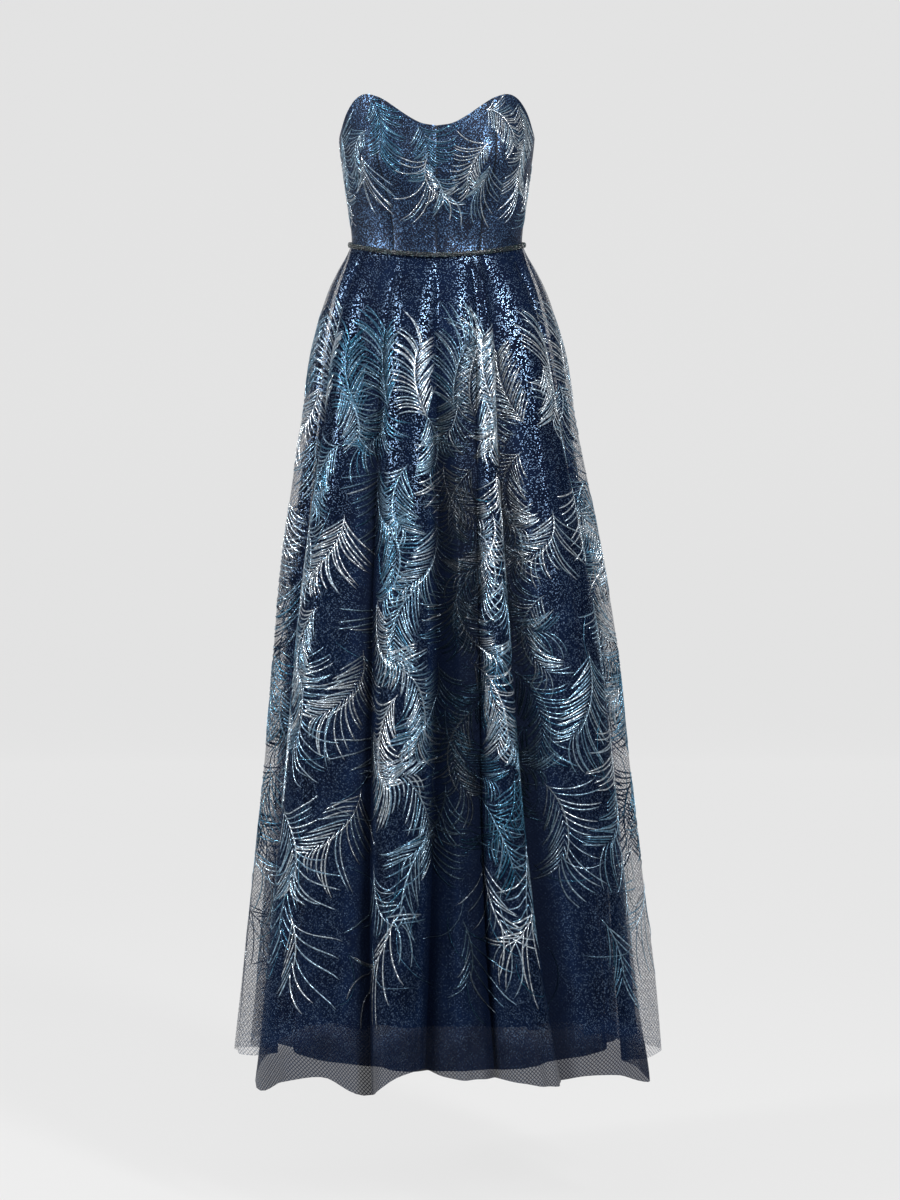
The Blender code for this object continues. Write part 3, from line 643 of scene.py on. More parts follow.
# %% Net over lining, stretched
def bodice_material():
    """Opaque net over lining. Each mix lays one colour over the last: the thread over the hole's, the flecks
    over both, and along the panels' side edges a near black, for cloth turned into the seam and painted shade
    in its groove."""
    material, tree, output = new_material("net over lining, stretched")
    place = cloth_place(tree)
    threads = net_thread(tree, place, STRETCHED_THREAD_WIDTH)
    shine = flecks(tree, place, FLECK, 0.16)
    soft = add(tree, "TexNoise", {"Vector": place, "Scale": 30.0, "Detail": 3.0}).outputs["Fac"]
    # Painted shade, partly real: the panels' side edges go near black, for cloth turned into the seam and
    # shade in its groove.
    seam = add(tree, "Attribute", attribute_name="seam").outputs["Fac"]
    thread = add(tree, "ValToRGB", {"Fac": soft}, [(0.3, "#081326"), (0.7, "#0E1E38")]).outputs["Color"]
    colour = linear("#040810")
    for factor, over in ((threads, thread), (shine, linear("#58769A")), (seam, linear("#010308"))):
        mix = {"Factor": factor, "A": colour, "B": over}
        colour = add(tree, "Mix", mix, data_type="RGBA").outputs["Result"]
    rough = add(tree, "MapRange", {"Value": shine, "To Min": 0.46, "To Max": 0.34}).outputs["Result"]
    metal = add(tree, "MapRange", {"Value": shine, "To Min": 0.20, "To Max": 0.9}).outputs["Result"]
    raised = add(tree, "Bump", {"Height": threads, "Distance": 0.0003, "Strength": 0.6}).outputs["Normal"]
    inputs = {"Base Color": colour, "Roughness": rough, "Metallic": metal, "Normal": raised}
    shader = add(tree, "BsdfPrincipled", inputs | {"Specular IOR Level": 0.15})
    tree.links.new(shader.outputs[0], output.inputs["Surface"])
    return material


bodice_net = bodice_material()
print("bodice finish:", bodice_net.name)

# %% [markdown]
# The bodice is eight panels, four on each side, each cut with its own curve so that the seams carry the
# shape. Each panel is one wall over its solid, a finer grid on the same sections. Its back is the lining.

# %% Bodice panels
BODICE_WALL = 0.0020
BODICE_RADIUS = 0.115
BODICE_PROBE = (0.8, 0.01)
SEAM_OPEN_FROM = 0.090
SEAM_OPEN_BY = 0.098
SEAM_OPENING = 0.0020
SEAM_SHADE = 0.018


def bodice_panel(panel, side, word):
    """One panel as a wall. Its side edges stop half a seam's gap short of the seam, and at the centre back
    they part for the zip slider near the top."""
    share = np.linspace(0, 1, PANEL_ROWS + 1)[:, None]
    start = panel.waist_from + share * (panel.top_from - panel.waist_from)
    end = panel.waist_to + share * (panel.top_to - panel.waist_to)
    gap = np.degrees(SEAM_GAP / 2 / BODICE_RADIUS)
    end_gap = gap + 0 * share
    if panel.waist_to == 180:
        opening = ease(SEAM_OPEN_FROM, SEAM_OPEN_BY, share * TOP_EDGE[-1].height)
        opening = SEAM_GAP + (SEAM_OPENING - SEAM_GAP) * opening
        end_gap = np.degrees(opening / 2 / BODICE[1].back)
    across = np.concatenate([[0], np.linspace(SEAM_SHADE, 1 - SEAM_SHADE, panel.columns - 1), [1]])[None, :]
    angle = side * (start + gap + across * (end - end_gap - start - gap))
    share = share + 0 * angle
    outer = bodice(angle, share)
    inner = outer - BODICE_WALL * outward(bodice, angle, share, BODICE_PROBE)
    inner[0, :, 2] = outer[0, :, 2]
    name = f"{panel.name}_{word}"
    # The side columns of a panel, which the finish darkens as the seam and its painted shade.
    seam = np.broadcast_to((across == 0) | (across == 1), angle.shape).astype(float)
    piece = wall(f"cloth_{name}", outer, inner, bodice_net, crepe, seam=seam)
    declare(piece, name)


for panel in PANELS:
    for side, word in ((1, "left"), (-1, "right")):
        bodice_panel(panel, side, word)

# %% [markdown]
# Each skirt layer is cut in three, a front and two backs, joined at the sides and the centre back. The
# net is by far the widest: it is pleated into the same waist as the lining, so it stands out in deep
# folds while the lining hangs close. All three use one function, and a table gives each cloth its grid,
# its thickness in metres and its finish.

# %% Skirt layers
Cut = namedtuple("Cut", "name start end")
CUTS = [
    Cut("back_right", 0, SIDE_SEAMS[0]),
    Cut("front", *SIDE_SEAMS),
    Cut("back_left", SIDE_SEAMS[1], FOLDS),
]
SkirtCloth = namedtuple("SkirtCloth", "word layer columns rows thickness finish slot held")
SKIRT_CLOTHS = [
    SkirtCloth("overskirt", NET_LAYER, 24, 110, 0.0005, skirt_net, "embroidered_net", "gathered"),
    SkirtCloth("underskirt", TULLE_LAYER, 12, 70, 0.0006, tulle_net, "tulle", "hung"),
    SkirtCloth("lining", LINING_LAYER, 12, 70, 0.0010, crepe, "lining", "hung"),
]
ROW_CROWDING = 1.15
SKIRT_PROBE = (0.02, 0.005)


def skirt_piece(cloth, cut):
    """One piece of a skirt layer as a thin wall between two of the valleys, drawn in by half a seam's gap.
    Its rows lie at even steps to the power ROW_CROWDING, so they are closer near the waist."""

    def sheet(fold, share):
        return skirt(cloth.layer, fold, share)

    fold = np.linspace(cut.start, cut.end, (cut.end - cut.start) * cloth.columns + 1)[None, :]
    share = np.linspace(0, 1, cloth.rows + 1)[:, None] ** ROW_CROWDING
    fold, share = fold + 0 * share, share + 0 * fold
    outer = sheet(fold, share)
    inside = np.clip(fold, SKIRT_PROBE[0], FOLDS - SKIRT_PROBE[0])
    normal = outward(sheet, inside, share, SKIRT_PROBE)
    inner = outer - cloth.thickness * normal
    inner[0, :, 2] = outer[0, :, 2]
    for grid in (outer, inner):
        for column, step in ((0, 1), (-1, -2)):
            run = grid[:, step] - grid[:, column]
            grid[:, column] += run / np.linalg.norm(run, axis=-1, keepdims=True) * SEAM_GAP / 2
    # How far each point is gathered: it sets the net's cover and the painted shade of its valleys.
    depth = gathered(fold, share)
    name = f"{cloth.word}_{cut.name}"
    piece = wall(f"cloth_{name}", outer, inner, cloth.finish, cloth.finish, gather=depth)
    declare(piece, name)


for cut in CUTS:
    for cloth in SKIRT_CLOTHS:
        skirt_piece(cloth, cut)

# %% [markdown]
# The embroidery is metallic yarn couched down in long curved stitches, 2 to 3 mm wide, that sweep away from a
# stem as the barbs of a feather do. Each stitch here is a real raised ribbon. It is walked over the cloth in
# short steps: at each step the surface's own slopes say how far a millimetre goes across and down, so a
# stitch keeps its length and runs over folds and creases as sewn yarn does. All stitches of a place walk at
# once, as whole arrays. The cloth that is sewn on is one record: its surface, the probe for its slopes, the
# limits that stitches keep to, how far plumes may overlap, the yarn's width, the slot, and a function that
# says how far it is gathered, which also sets the painted shade of the yarn in its valleys.

# %% Walking stitches over the cloth
STITCH_PARTS = 9
STITCH_HEIGHT = 0.0009
STITCH_LIFT = 0.0003
YARN_ROUND = 0.0025
SHORTEST = 0.010
FAR = 9.0

Ground = namedtuple("Ground", "sheet steps limits overlap width slot gathers")
Stitches = namedtuple("Stitches", "across along heading curl length tone plume")


def slopes(ground, across, along):
    """Change of place for one unit across and for one unit down the sheet, by central differences."""
    sheet = ground.sheet
    aside, down = ground.steps
    run = (sheet(across + aside, along) - sheet(across - aside, along)) / (2 * aside)
    fall = (sheet(across, along + down) - sheet(across, along - down)) / (2 * down)
    return run, fall


def walk(ground, stitches, length):
    """Places, directions and normals along every stitch. The heading, 0 across and 90 down, turns evenly by
    curl from root to tip, and each part is a ninth of the stitch's length on the cloth."""
    a, b, path = stitches.across, stitches.along, []
    for part in range(STITCH_PARTS + 1):
        run, fall = slopes(ground, a, b)
        run_length = np.linalg.norm(run, axis=-1)
        fall_length = np.linalg.norm(fall, axis=-1)
        turn = np.radians(stitches.heading + stitches.curl * part / STITCH_PARTS)
        ahead = run * (np.cos(turn) / run_length)[:, None] + fall * (np.sin(turn) / fall_length)[:, None]
        place = np.stack([a, b, b], axis=-1)
        path.append(np.stack([ground.sheet(a, b), ahead, np.cross(fall, run), place]))
        a = a + length / STITCH_PARTS * np.cos(turn) / run_length
        b = b + length / STITCH_PARTS * np.sin(turn) / fall_length
    return np.stack(path, axis=2)


def at_home(places, stitches, stems, owners, overlap):
    """True where the distance to a stitch's own stem is less than that to the nearest other stem, plus the
    overlap. Squared distances to all stem points come from |p|^2 + |q|^2 - 2 p.q, for one part of the
    stitches at a time."""
    home = np.ones(places.shape[:2], bool)
    for part in range(places.shape[1]):
        p = places[:, part]
        squared = (p**2).sum(axis=1)[:, None] + (stems**2).sum(axis=1)[None] - 2 * p @ stems.T
        distance = np.sqrt(np.maximum(squared, 0))
        own = stitches.plume[:, None] == owners[None]
        nearest_own = np.where(own, distance, FAR).min(axis=1)
        nearest_other = np.where(own, FAR, distance).min(axis=1)
        home[:, part] = nearest_own < nearest_other + overlap
    return home


def sew(ground, stitches, stems, owners):
    """Walks the stitches, cuts each where it leaves the limits or its plume's own part of the cloth, and
    walks again."""
    path = walk(ground, stitches, stitches.length)
    a, b = path[3, :, :, 0], path[3, :, :, 1]
    low, high, top, foot = ground.limits
    inside = (a > low) & (a < high) & (b > top) & (b < foot)
    if stems is not None:
        inside &= at_home(path[0], stitches, stems, owners, ground.overlap)
    reached = np.cumprod(inside, axis=1).sum(axis=1)
    length = stitches.length * np.clip((reached - 0.5) / STITCH_PARTS, 0, 1)
    keep = length > SHORTEST
    stitches = Stitches(*(column[keep] for column in stitches))
    return walk(ground, stitches, length[keep]), stitches, length[keep]


def ribbons(name, path, width, length, tone, gather, material):
    """Stitches as closed ribbons of three sides: two edges on the cloth and a ridge above its middle. The
    width is the fourth root of 4t(1 - t) of the full width, so both ends are rounded."""
    centre, ahead, out = path[:3]
    out = out / np.linalg.norm(out, axis=-1, keepdims=True)
    out = out * np.where(np.sum(out[..., :2] * centre[..., :2], axis=-1, keepdims=True) < 0, -1, 1)
    side = np.cross(out, ahead)
    side /= np.linalg.norm(side, axis=-1, keepdims=True)
    t = np.linspace(0, 1, centre.shape[1])
    swell = np.maximum(4 * t * (1 - t), 0.004) ** 0.25
    half = (width[:, None] * swell / 2)[..., None]
    ridge = centre + out * (STITCH_LIFT + STITCH_HEIGHT * swell[None, :, None])
    foot = centre + out * STITCH_LIFT
    points = np.stack([foot - side * half, ridge, foot + side * half], axis=2)
    count, parts = points.shape[:2]
    index = np.arange(count * parts * 3).reshape(count, parts, 3)
    after = np.roll(index, -1, axis=2)
    quads = np.stack([index[:, :-1], after[:, :-1], after[:, 1:], index[:, 1:]], axis=-1).reshape(-1, 4)
    faces = quads.tolist() + index[:, 0, ::-1].tolist() + index[:, -1].tolist()
    along = np.broadcast_to((length[:, None] * t)[:, :, None], (count, parts, 3))
    over = np.broadcast_to(np.array([0, 0.5, 1.0]) * YARN_ROUND, (count, parts, 3))
    uv = np.stack([along + 3 * tone[:, None, None], over], axis=-1).reshape(-1, 2)
    tones = np.broadcast_to(tone[:, None, None], (count, parts, 3)).ravel()
    # How far each stitch point is gathered; the yarn reads it as painted shade.
    depths = np.repeat(gather.ravel(), 3)
    piece = mesh_piece(name, points.reshape(-1, 3), faces, [material], uv, tone=tones, gather=depths)
    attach(piece, "gown")
    print(f"{name}: {count} stitches, {len(quads) * 2 + 2 * count} triangles")


print("a stitch has", STITCH_PARTS, "parts")

# %% [markdown]
# Metallic embroidery yarn is a narrow foil strip wrapped round a core, so it flashes where it turns towards
# the light and looks dull beside it. Three yarns are used: a deep teal, a blue grey and a silver blue. The
# tone of a stitch picks its yarn, and a noise of a few millimetres along it paints glints into the colour:
# bright spots of the yarn's colour, a dull dark between, and more gloss on the bright spots. In the valleys
# the yarn is darkened by painted shade.

# %% Metallic yarn, foil wrapped
# Size of the painted glints along a stitch.
GLINT = 0.0036


def yarn_material():
    """Foil-wrapped yarn: colour by the stitch's tone, brightness and roughness by a noise along it. Each mix
    lays one more colour over the last: the dull yarn, its painted glints, and the painted shade of a valley."""
    material, tree, output = new_material("metallic yarn, foil wrapped")
    place = cloth_place(tree)
    tone = add(tree, "Attribute", attribute_name="tone").outputs["Fac"]
    yarns = [(0.0, "#1F5A70"), (0.35, "#5488A4"), (0.7, "#A9CADF"), (1.0, "#EEF6FB")]
    yarn = add(tree, "ValToRGB", {"Fac": tone}, yarns).outputs["Color"]
    noise = add(tree, "TexNoise", {"Vector": place, "Scale": 1 / GLINT, "Detail": 2.0}).outputs["Fac"]
    # Painted glints: where the noise is high the yarn keeps its bright colour and is glossier, elsewhere it
    # is dulled to #1A2C48.
    painted_glint_and_gloss = add(tree, "MapRange", {"Value": noise, "From Min": 0.40, "From Max": 0.58}).outputs["Result"]
    gather = add(tree, "Attribute", attribute_name="gather").outputs["Fac"]
    # Painted shade: yarn in a gathered valley is mixed towards near black #050C18.
    shade = add(tree, "MapRange", {"Value": gather, "To Min": 0, "To Max": 0.95}).outputs["Result"]
    colour = yarn
    for factor, over in ((0.8, linear("#1A2C48")), (painted_glint_and_gloss, yarn), (shade, linear("#050C18"))):
        mix = {"Factor": factor, "A": colour, "B": over}
        colour = add(tree, "Mix", mix, data_type="RGBA").outputs["Result"]
    rough = add(tree, "MapRange", {"Value": painted_glint_and_gloss, "To Min": 0.48, "To Max": 0.20}).outputs["Result"]
    raised = add(tree, "Bump", {"Height": noise, "Distance": 0.0008, "Strength": 0.9}).outputs["Normal"]
    inputs = {"Base Color": colour, "Metallic": 0.8, "Roughness": rough, "Normal": raised}
    shader = add(tree, "BsdfPrincipled", inputs | {"Specular IOR Level": 0.2})
    tree.links.new(shader.outputs[0], output.inputs["Surface"])
    return material


yarn = yarn_material()
print("glints of", GLINT * 1000, "mm")

# %% [markdown]
# The stitches are laid out as plumes in staggered rows round the skirt: a curved stem with barbs on both
# sides that curl away from it. Where two plumes meet, each barb is cut off a little past the line halfway
# between their stems, so that the plumes lie beside one another as they do when an embroiderer fills a
# ground. The top row sweeps up into a feathered edge, the middle rows are close, and the lowest are open
# and trail off over bare net.

# %% Plumes of the skirt
Row = namedtuple("Row", "share count shift stem barb pairs heading swing bend leave curl")
ROWS = [
    Row(0.196, 22, 0.00, 0.110, 0.076, 21, -116, 8, 40, 25, 42),
    Row(0.172, 19, 0.45, 0.085, 0.078, 16, 64, 18, 60, 28, 48),
    Row(0.250, 21, 0.20, 0.105, 0.084, 18, 120, 20, -70, 27, 50),
    Row(0.320, 21, 0.70, 0.120, 0.090, 20, 58, 24, 80, 27, 52),
    Row(0.400, 21, 0.30, 0.130, 0.094, 21, 122, 26, -85, 27, 54),
    Row(0.480, 21, 0.80, 0.135, 0.094, 21, 60, 24, 75, 26, 52),
    Row(0.560, 21, 0.10, 0.140, 0.096, 21, 118, 26, -80, 26, 54),
    Row(0.640, 20, 0.60, 0.130, 0.110, 14, 70, 24, 60, 24, 50),
    Row(0.730, 15, 0.00, 0.130, 0.110, 8, 104, 26, -50, 20, 46),
    Row(0.800, 13, 0.50, 0.090, 0.090, 6, 86, 30, 50, 18, 40),
]
HOLLOW_LEAVE = 1.4
HOLLOW_CURL = 0.4
HOLLOW_LENGTH = 0.55
OUTER_LENGTH = 1.15
MEAN_TONE = 0.74


def net_surface(fold, share):
    """The net's outer face, where the skirt's stitches lie."""
    return skirt(NET_LAYER, fold % FOLDS, share)


SKIRT_LIMITS = (0.06, 12.94, 0.055, 0.955)
SKIRT_GROUND = Ground(net_surface, (0.02, 0.004), SKIRT_LIMITS, 0.013, 0.0023, "embroidered_net", gathered)


def plume_barbs(ground, row, across, along, heading, bend, tone, first):
    """The barbs of a row's plumes, and their stems' points. A stem is walked in as many steps as it has
    pairs. Each barb leaves it at the leave angle, and is longest below the middle of the stem. On the hollow
    side of a bent stem the barbs are shorter and straighter, so that they don't crowd."""
    batches, points, owners = [], [], []
    plume = first + np.arange(len(across))
    batches.append([across, along, heading, bend, 0 * across + row.stem, tone + 0.1, plume])
    for pair in range(row.pairs):
        t = (pair + 0.5) / row.pairs
        turn = heading + bend * t
        run, fall = slopes(ground, across, along)
        step = row.stem / row.pairs
        across = across + step * np.cos(np.radians(turn)) / np.linalg.norm(run, axis=-1)
        along = along + step * np.sin(np.radians(turn)) / np.linalg.norm(fall, axis=-1)
        points.append(ground.sheet(across, along))
        owners.append(plume)
        for side in (-1, 1):
            size = row.barb * (0.55 + 0.45 * np.sin(np.pi * (0.25 + 0.65 * t)))
            jitter = rng.normal(0, 1, (4, len(across)))
            hollow = side * np.sign(bend) > 0
            leave = side * row.leave * (1.3 - 0.5 * t) * np.where(hollow, HOLLOW_LEAVE, 1)
            leave = turn + leave + 2.5 * jitter[0]
            curl = side * row.curl * (0.9 + 0.4 * t) * np.where(hollow, HOLLOW_CURL, 1) + 6 * jitter[1]
            length = size * (1 + 0.12 * jitter[2]) * np.where(hollow, HOLLOW_LENGTH, OUTER_LENGTH)
            batches.append([across, along, leave, curl, length, tone + 0.12 * jitter[3], plume])
    barbs = np.concatenate(np.array(batches).transpose(0, 2, 1))
    return barbs, np.concatenate(points), np.concatenate(owners)


def lay_out(rows, ground, left, right):
    """Places the plumes of every row evenly from left to right, with a little disorder, and gathers their
    barbs."""
    found, points, owners, first = [], [], [], 0
    for row in rows:
        number = np.arange(row.count)
        jitter = rng.normal(0, 1, (5, row.count))
        place = (number + row.shift + 0.10 * jitter[0]) % row.count / row.count
        across = left + place * (right - left)
        along = row.share + 0.012 * jitter[1]
        side = np.where(number % 2, 1, -1)
        heading = row.heading + side * row.swing + 6 * jitter[2]
        bend = row.bend * (1 + 0.18 * jitter[3])
        tone = np.clip(MEAN_TONE + 0.2 * jitter[4], 0.2, 1)
        barbs = plume_barbs(ground, row, across, along, heading, bend, tone, first)
        found.append(barbs[0])
        points.append(barbs[1])
        owners.append(barbs[2])
        first += row.count
    return Stitches(*np.concatenate(found).T), np.concatenate(points), np.concatenate(owners)


def sew_bands(label, ground, bands, stitches, stems=None, owners=None):
    """Sews the stitches band by band, a band being a range across and a range down the sheet. The yarn's
    width varies by an eighth from stitch to stitch."""
    path, stitches, length = sew(ground, stitches, stems, owners)
    width = ground.width * rng.normal(1, 0.12, len(length))
    width = width.clip(0.6 * ground.width, 1.4 * ground.width)
    for name, low, high, top, foot in bands:
        mine = (stitches.across >= low) & (stitches.across < high)
        mine &= (stitches.along >= top) & (stitches.along < foot)
        tone = np.clip(stitches.tone[mine], 0, 1)
        gather = ground.gathers(path[3, mine, :, 0], path[3, mine, :, 1])
        ribbons(f"{label}_{name}", path[:, mine], width[mine], length[mine], tone, gather, yarn)


SKIRT_BANDS = [
    (f"{cut.name}_{word}", cut.start, cut.end, top, foot)
    for cut in CUTS
    for word, top, foot in (("upper", 0, 0.40), ("lower", 0.40, 1.01))
]
plumes, stems, owners = lay_out(ROWS, SKIRT_GROUND, 0.0, float(FOLDS))
sew_bands("plumes", SKIRT_GROUND, SKIRT_BANDS, plumes, stems, owners)

# %% [markdown]
# Thin single strands fill the gaps between the plumes and wander down over the bare net, each one long
# stitch of a finer yarn.

# %% Loose strands
STRANDS = 150
STRAND_YARN = 0.0012
jitter = rng.normal(0, 1, (4, STRANDS))
strands = Stitches(
    (np.arange(STRANDS) * 0.618 % 1) * FOLDS,
    0.24 + 0.62 * (np.arange(STRANDS) * 0.755 % 1) ** 0.8,
    90 + 42 * jitter[0],
    75 * np.sign(jitter[1]) + 20 * jitter[1],
    0.105 + 0.02 * jitter[2],
    0.42 + 0.2 * jitter[3],
    np.zeros(STRANDS),
)
strand_bands = [(cut.name, cut.start, cut.end, 0, 1.01) for cut in CUTS]
sew_bands("strands", SKIRT_GROUND._replace(width=STRAND_YARN), strand_bands, strands)

# %% [markdown]
# The bodice has the same yarn in shorter plumes. They hang from the top edge over the upper part, and the
# net below them stays plain, so the eye reads the waist as slim.

# %% Plumes of the bodice
BODICE_ROWS = [
    Row(0.03, 11, 0.28, 0.082, 0.068, 20, 40, 10, 70, 30, 52),
    Row(0.26, 10, 0.80, 0.070, 0.066, 16, 128, 14, -70, 30, 50),
    Row(0.40, 9, 0.30, 0.040, 0.058, 9, 66, 16, 40, 24, 40),
]
BODICE_LIMITS = (-174.0, 174.0, 0.03, 0.86)
BODICE_BANDS = [("right", -181, 0, -1, 2), ("left", 0, 181, -1, 2)]


def bodice_down(angle, along):
    """The bodice's outer face, counted down from the top edge."""
    return bodice(angle, 1 - along)


def stretched_flat(angle, along):
    """0 all over: the bodice has no pleats, so nothing there is gathered and its yarn gets no painted shade.
    """
    return 0 * angle


BODICE_GROUND = Ground(
    bodice_down, (0.4, 0.006), BODICE_LIMITS, 0.004, 0.0018, "embroidered_bodice", stretched_flat
)
plumes, stems, owners = lay_out(BODICE_ROWS, BODICE_GROUND, -180.0, 180.0)
sew_bands("plumes_bodice", BODICE_GROUND, BODICE_BANDS, plumes, stems, owners)

# %% [markdown]
# A cord of tiny dark glass beads covers the waist seam. The core is a twisted silk cord, which is the
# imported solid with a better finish, and three staggered rows of beads sit on its outer half. A bead is a
# coarse sphere, because there are hundreds of them and each is only 2.3 mm across.

# %% Waist cord and beads
CORD_HALF_HEIGHT = 0.0030
CORD_HALF_THICKNESS = 0.0016
CORD_ABOVE_SEAM = 0.0016
CORD_OFF_CLOTH = 0.0018
CORD_BACK_OPENING = 1.6
CORD_PROBE = (1.0, 0.01)
BODICE_HEIGHT = 0.15
BEAD_RADIUS = 0.00115
BEAD_PITCH = 0.0026
BEAD_STAND = 1.08
BEAD_ROWS = (-52, 0, 52)
STRAND_SCALE = 160.0


def silk_material():
    """Twisted silk: a diagonal wave, one strand every 2 mm, raises the cord and darkens the grooves between
    the strands with painted shade. The bands of a wave texture lie 0.314 / scale apart."""
    material, tree, output = new_material("silk cord, twisted")
    place = add(tree, "TexCoord").outputs["Object"]
    turned = add(tree, "Mapping", {"Vector": place, "Rotation": (0, 0.8, 0.6)}).outputs["Vector"]
    wave = {"Vector": turned, "Scale": STRAND_SCALE, "Distortion": 1.0}
    strands = add(tree, "TexWave", wave).outputs["Fac"]
    raised = add(tree, "Bump", {"Height": strands, "Distance": 0.0004, "Strength": 0.8}).outputs["Normal"]
    # Painted shade: the colour follows the wave, near black in the grooves between strands.
    colour = add(tree, "ValToRGB", {"Fac": strands}, [(0.0, "#05080E"), (1.0, "#1A2430")]).outputs["Color"]
    shader = add(tree, "BsdfPrincipled", {"Base Color": colour, "Normal": raised, "Roughness": 0.4})
    tree.links.new(shader.outputs[0], output.inputs["Surface"])
    return material


def bead_material():
    """Dark glass: glossy, near black, some beads with a green or a steel tint."""
    material, tree, output = new_material("glass beads, dark")
    tint = add(tree, "Attribute", attribute_name="tone").outputs["Fac"]
    tints = [(0.0, "#06090D"), (0.55, "#0F1B24"), (0.8, "#1A2C26"), (1.0, "#4A5A60")]
    colour = add(tree, "ValToRGB", {"Fac": tint}, tints).outputs["Color"]
    shader = add(tree, "BsdfPrincipled", {"Base Color": colour, "Roughness": 0.18, "Coat Weight": 0.3})
    tree.links.new(shader.outputs[0], output.inputs["Surface"])
    return material


def spheres(centres, radius, rings=5, sides=8):
    """Points and faces of equal spheres: rings of points at even latitudes, and one point at each pole."""
    latitude = np.pi * (np.arange(rings - 1) + 1) / rings
    turn = 2 * np.pi * np.arange(sides) / sides
    ring = np.stack(
        [
            np.sin(latitude)[:, None] * np.cos(turn),
            np.sin(latitude)[:, None] * np.sin(turn),
            np.cos(latitude)[:, None] + 0 * turn,
        ],
        axis=-1,
    ).reshape(-1, 3)
    ball = np.concatenate([ring, [[0, 0, 1], [0, 0, -1]]]) * radius
    index = np.arange((rings - 1) * sides).reshape(rings - 1, sides)
    after = np.roll(index, -1, axis=1)
    quads = np.stack([index[:-1], index[1:], after[1:], after[:-1]], axis=-1).reshape(-1, 4)
    top = np.stack([index[0], after[0], np.full(sides, len(ball) - 2)], axis=-1)
    foot = np.stack([after[-1], index[-1], np.full(sides, len(ball) - 1)], axis=-1)
    base = np.arange(len(centres)) * len(ball)
    points = (centres[:, None] + ball[None]).reshape(-1, 3)
    faces = []
    for part in (quads, top, foot):
        faces += (part[None] + base[:, None, None]).reshape(-1, part.shape[1]).tolist()
    return points, faces, len(ball)


def cord_frame(angle):
    """Middle of the cord and the level direction away from the cloth, at each angle round the waist. The
    panels start half a seam's gap above the waist seam, so the seam itself has a share just below 0."""
    base = bodice(angle, 0 * angle - SEAM_GAP / 2 / BODICE_HEIGHT)
    out = outward(bodice, angle, 0 * angle + CORD_PROBE[1], CORD_PROBE) * [1, 1, 0]
    out /= np.linalg.norm(out, axis=-1, keepdims=True)
    middle = base + out * (CORD_OFF_CLOTH + CORD_HALF_THICKNESS)
    middle[:, 2] = waist_height(angle) + CORD_ABOVE_SEAM
    return middle, out


dense = np.linspace(-180 + CORD_BACK_OPENING, 180 - CORD_BACK_OPENING, 4000)
run = np.linalg.norm(np.diff(cord_frame(dense)[0], axis=0), axis=-1)
run = np.concatenate([[0], np.cumsum(run)])
places = []
for number, turn in enumerate(BEAD_ROWS):
    at = np.arange(BEAD_PITCH * (0.6 + 0.5 * (number % 2)), run[-1] - BEAD_PITCH * 0.5, BEAD_PITCH)
    middle, out = cord_frame(np.interp(at, run, dense))
    around = np.radians(turn + rng.normal(0, 5, len(at)))[:, None]
    reach = out * CORD_HALF_THICKNESS * np.cos(around) + [0, 0, CORD_HALF_HEIGHT] * np.sin(around)
    places.append(middle + reach * BEAD_STAND)
places = np.concatenate(places)
points, faces, each = spheres(places, BEAD_RADIUS)
tints = np.repeat(rng.random(len(places)), each)
beads = mesh_piece("waist_beads", points, faces, [bead_material()], tone=tints)
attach(beads, "gown")
silk = silk_material()
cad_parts["waist_cord"].data.materials.clear()
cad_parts["waist_cord"].data.materials.append(silk)
print(len(places), "beads on", round(float(run[-1]), 3), "m of cord")

# %% [markdown]
# The gown closes with a concealed zip at the centre back. The tape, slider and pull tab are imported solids
# and keep their shapes. The tape gets a woven finish and the metal a dark enamel, and two nylon coils,
# each a helix carried down the tape, are added on the inside.

# %% Zip
COIL_RADIUS = 0.0009
COIL_WIRE = 0.00032
COIL_PITCH = 0.0016
COIL_APART = 0.0011
COIL_CLEARANCE = 0.0003
TAPE_WALL = 0.0008
RIB_SCALE = 200.0
MOTTLE_SCALE = 330.0


def tube(path, radius, sides):
    """Points and faces of a tube along a path: a ring of points at each step, set square to the path by the
    cross products of its direction with a fixed level direction, and closed by a face at each end."""
    ahead = np.gradient(path, axis=0)
    ahead /= np.linalg.norm(ahead, axis=-1, keepdims=True)
    side = np.cross(ahead, [0.31, 0.17, 0.93])
    side /= np.linalg.norm(side, axis=-1, keepdims=True)
    up = np.cross(side, ahead)
    turn = 2 * np.pi * np.arange(sides) / sides
    rings = path[:, None] + radius * (
        side[:, None] * np.cos(turn)[None, :, None] + up[:, None] * np.sin(turn)[None, :, None]
    )
    index = np.arange(len(path) * sides).reshape(len(path), sides)
    after = np.roll(index, -1, axis=1)
    quads = np.stack([index[:-1], index[1:], after[1:], after[:-1]], axis=-1).reshape(-1, 4)
    return rings.reshape(-1, 3), [*quads.tolist(), index[0].tolist(), index[-1, ::-1].tolist()]


def tape_material():
    """Zip tape: a twill of fine ribs, one every 0.8 mm, drawn at 1.6 mm so that it shows."""
    material, tree, output = new_material("zip tape, woven twill")
    place = add(tree, "TexCoord").outputs["Object"]
    turned = add(tree, "Mapping", {"Vector": place, "Rotation": (0, 0.7, 0)}).outputs["Vector"]
    ribs = add(tree, "TexWave", {"Vector": turned, "Scale": RIB_SCALE}).outputs["Fac"]
    raised = add(tree, "Bump", {"Height": ribs, "Distance": 0.0002, "Strength": 0.6}).outputs["Normal"]
    # Painted shade: the colour follows the ribs, darker in the grooves between them.
    colour = add(tree, "ValToRGB", {"Fac": ribs}, [(0.0, "#080C16"), (1.0, "#141C2E")]).outputs["Color"]
    shader = add(tree, "BsdfPrincipled", {"Base Color": colour, "Normal": raised, "Roughness": 0.7})
    tree.links.new(shader.outputs[0], output.inputs["Surface"])
    return material


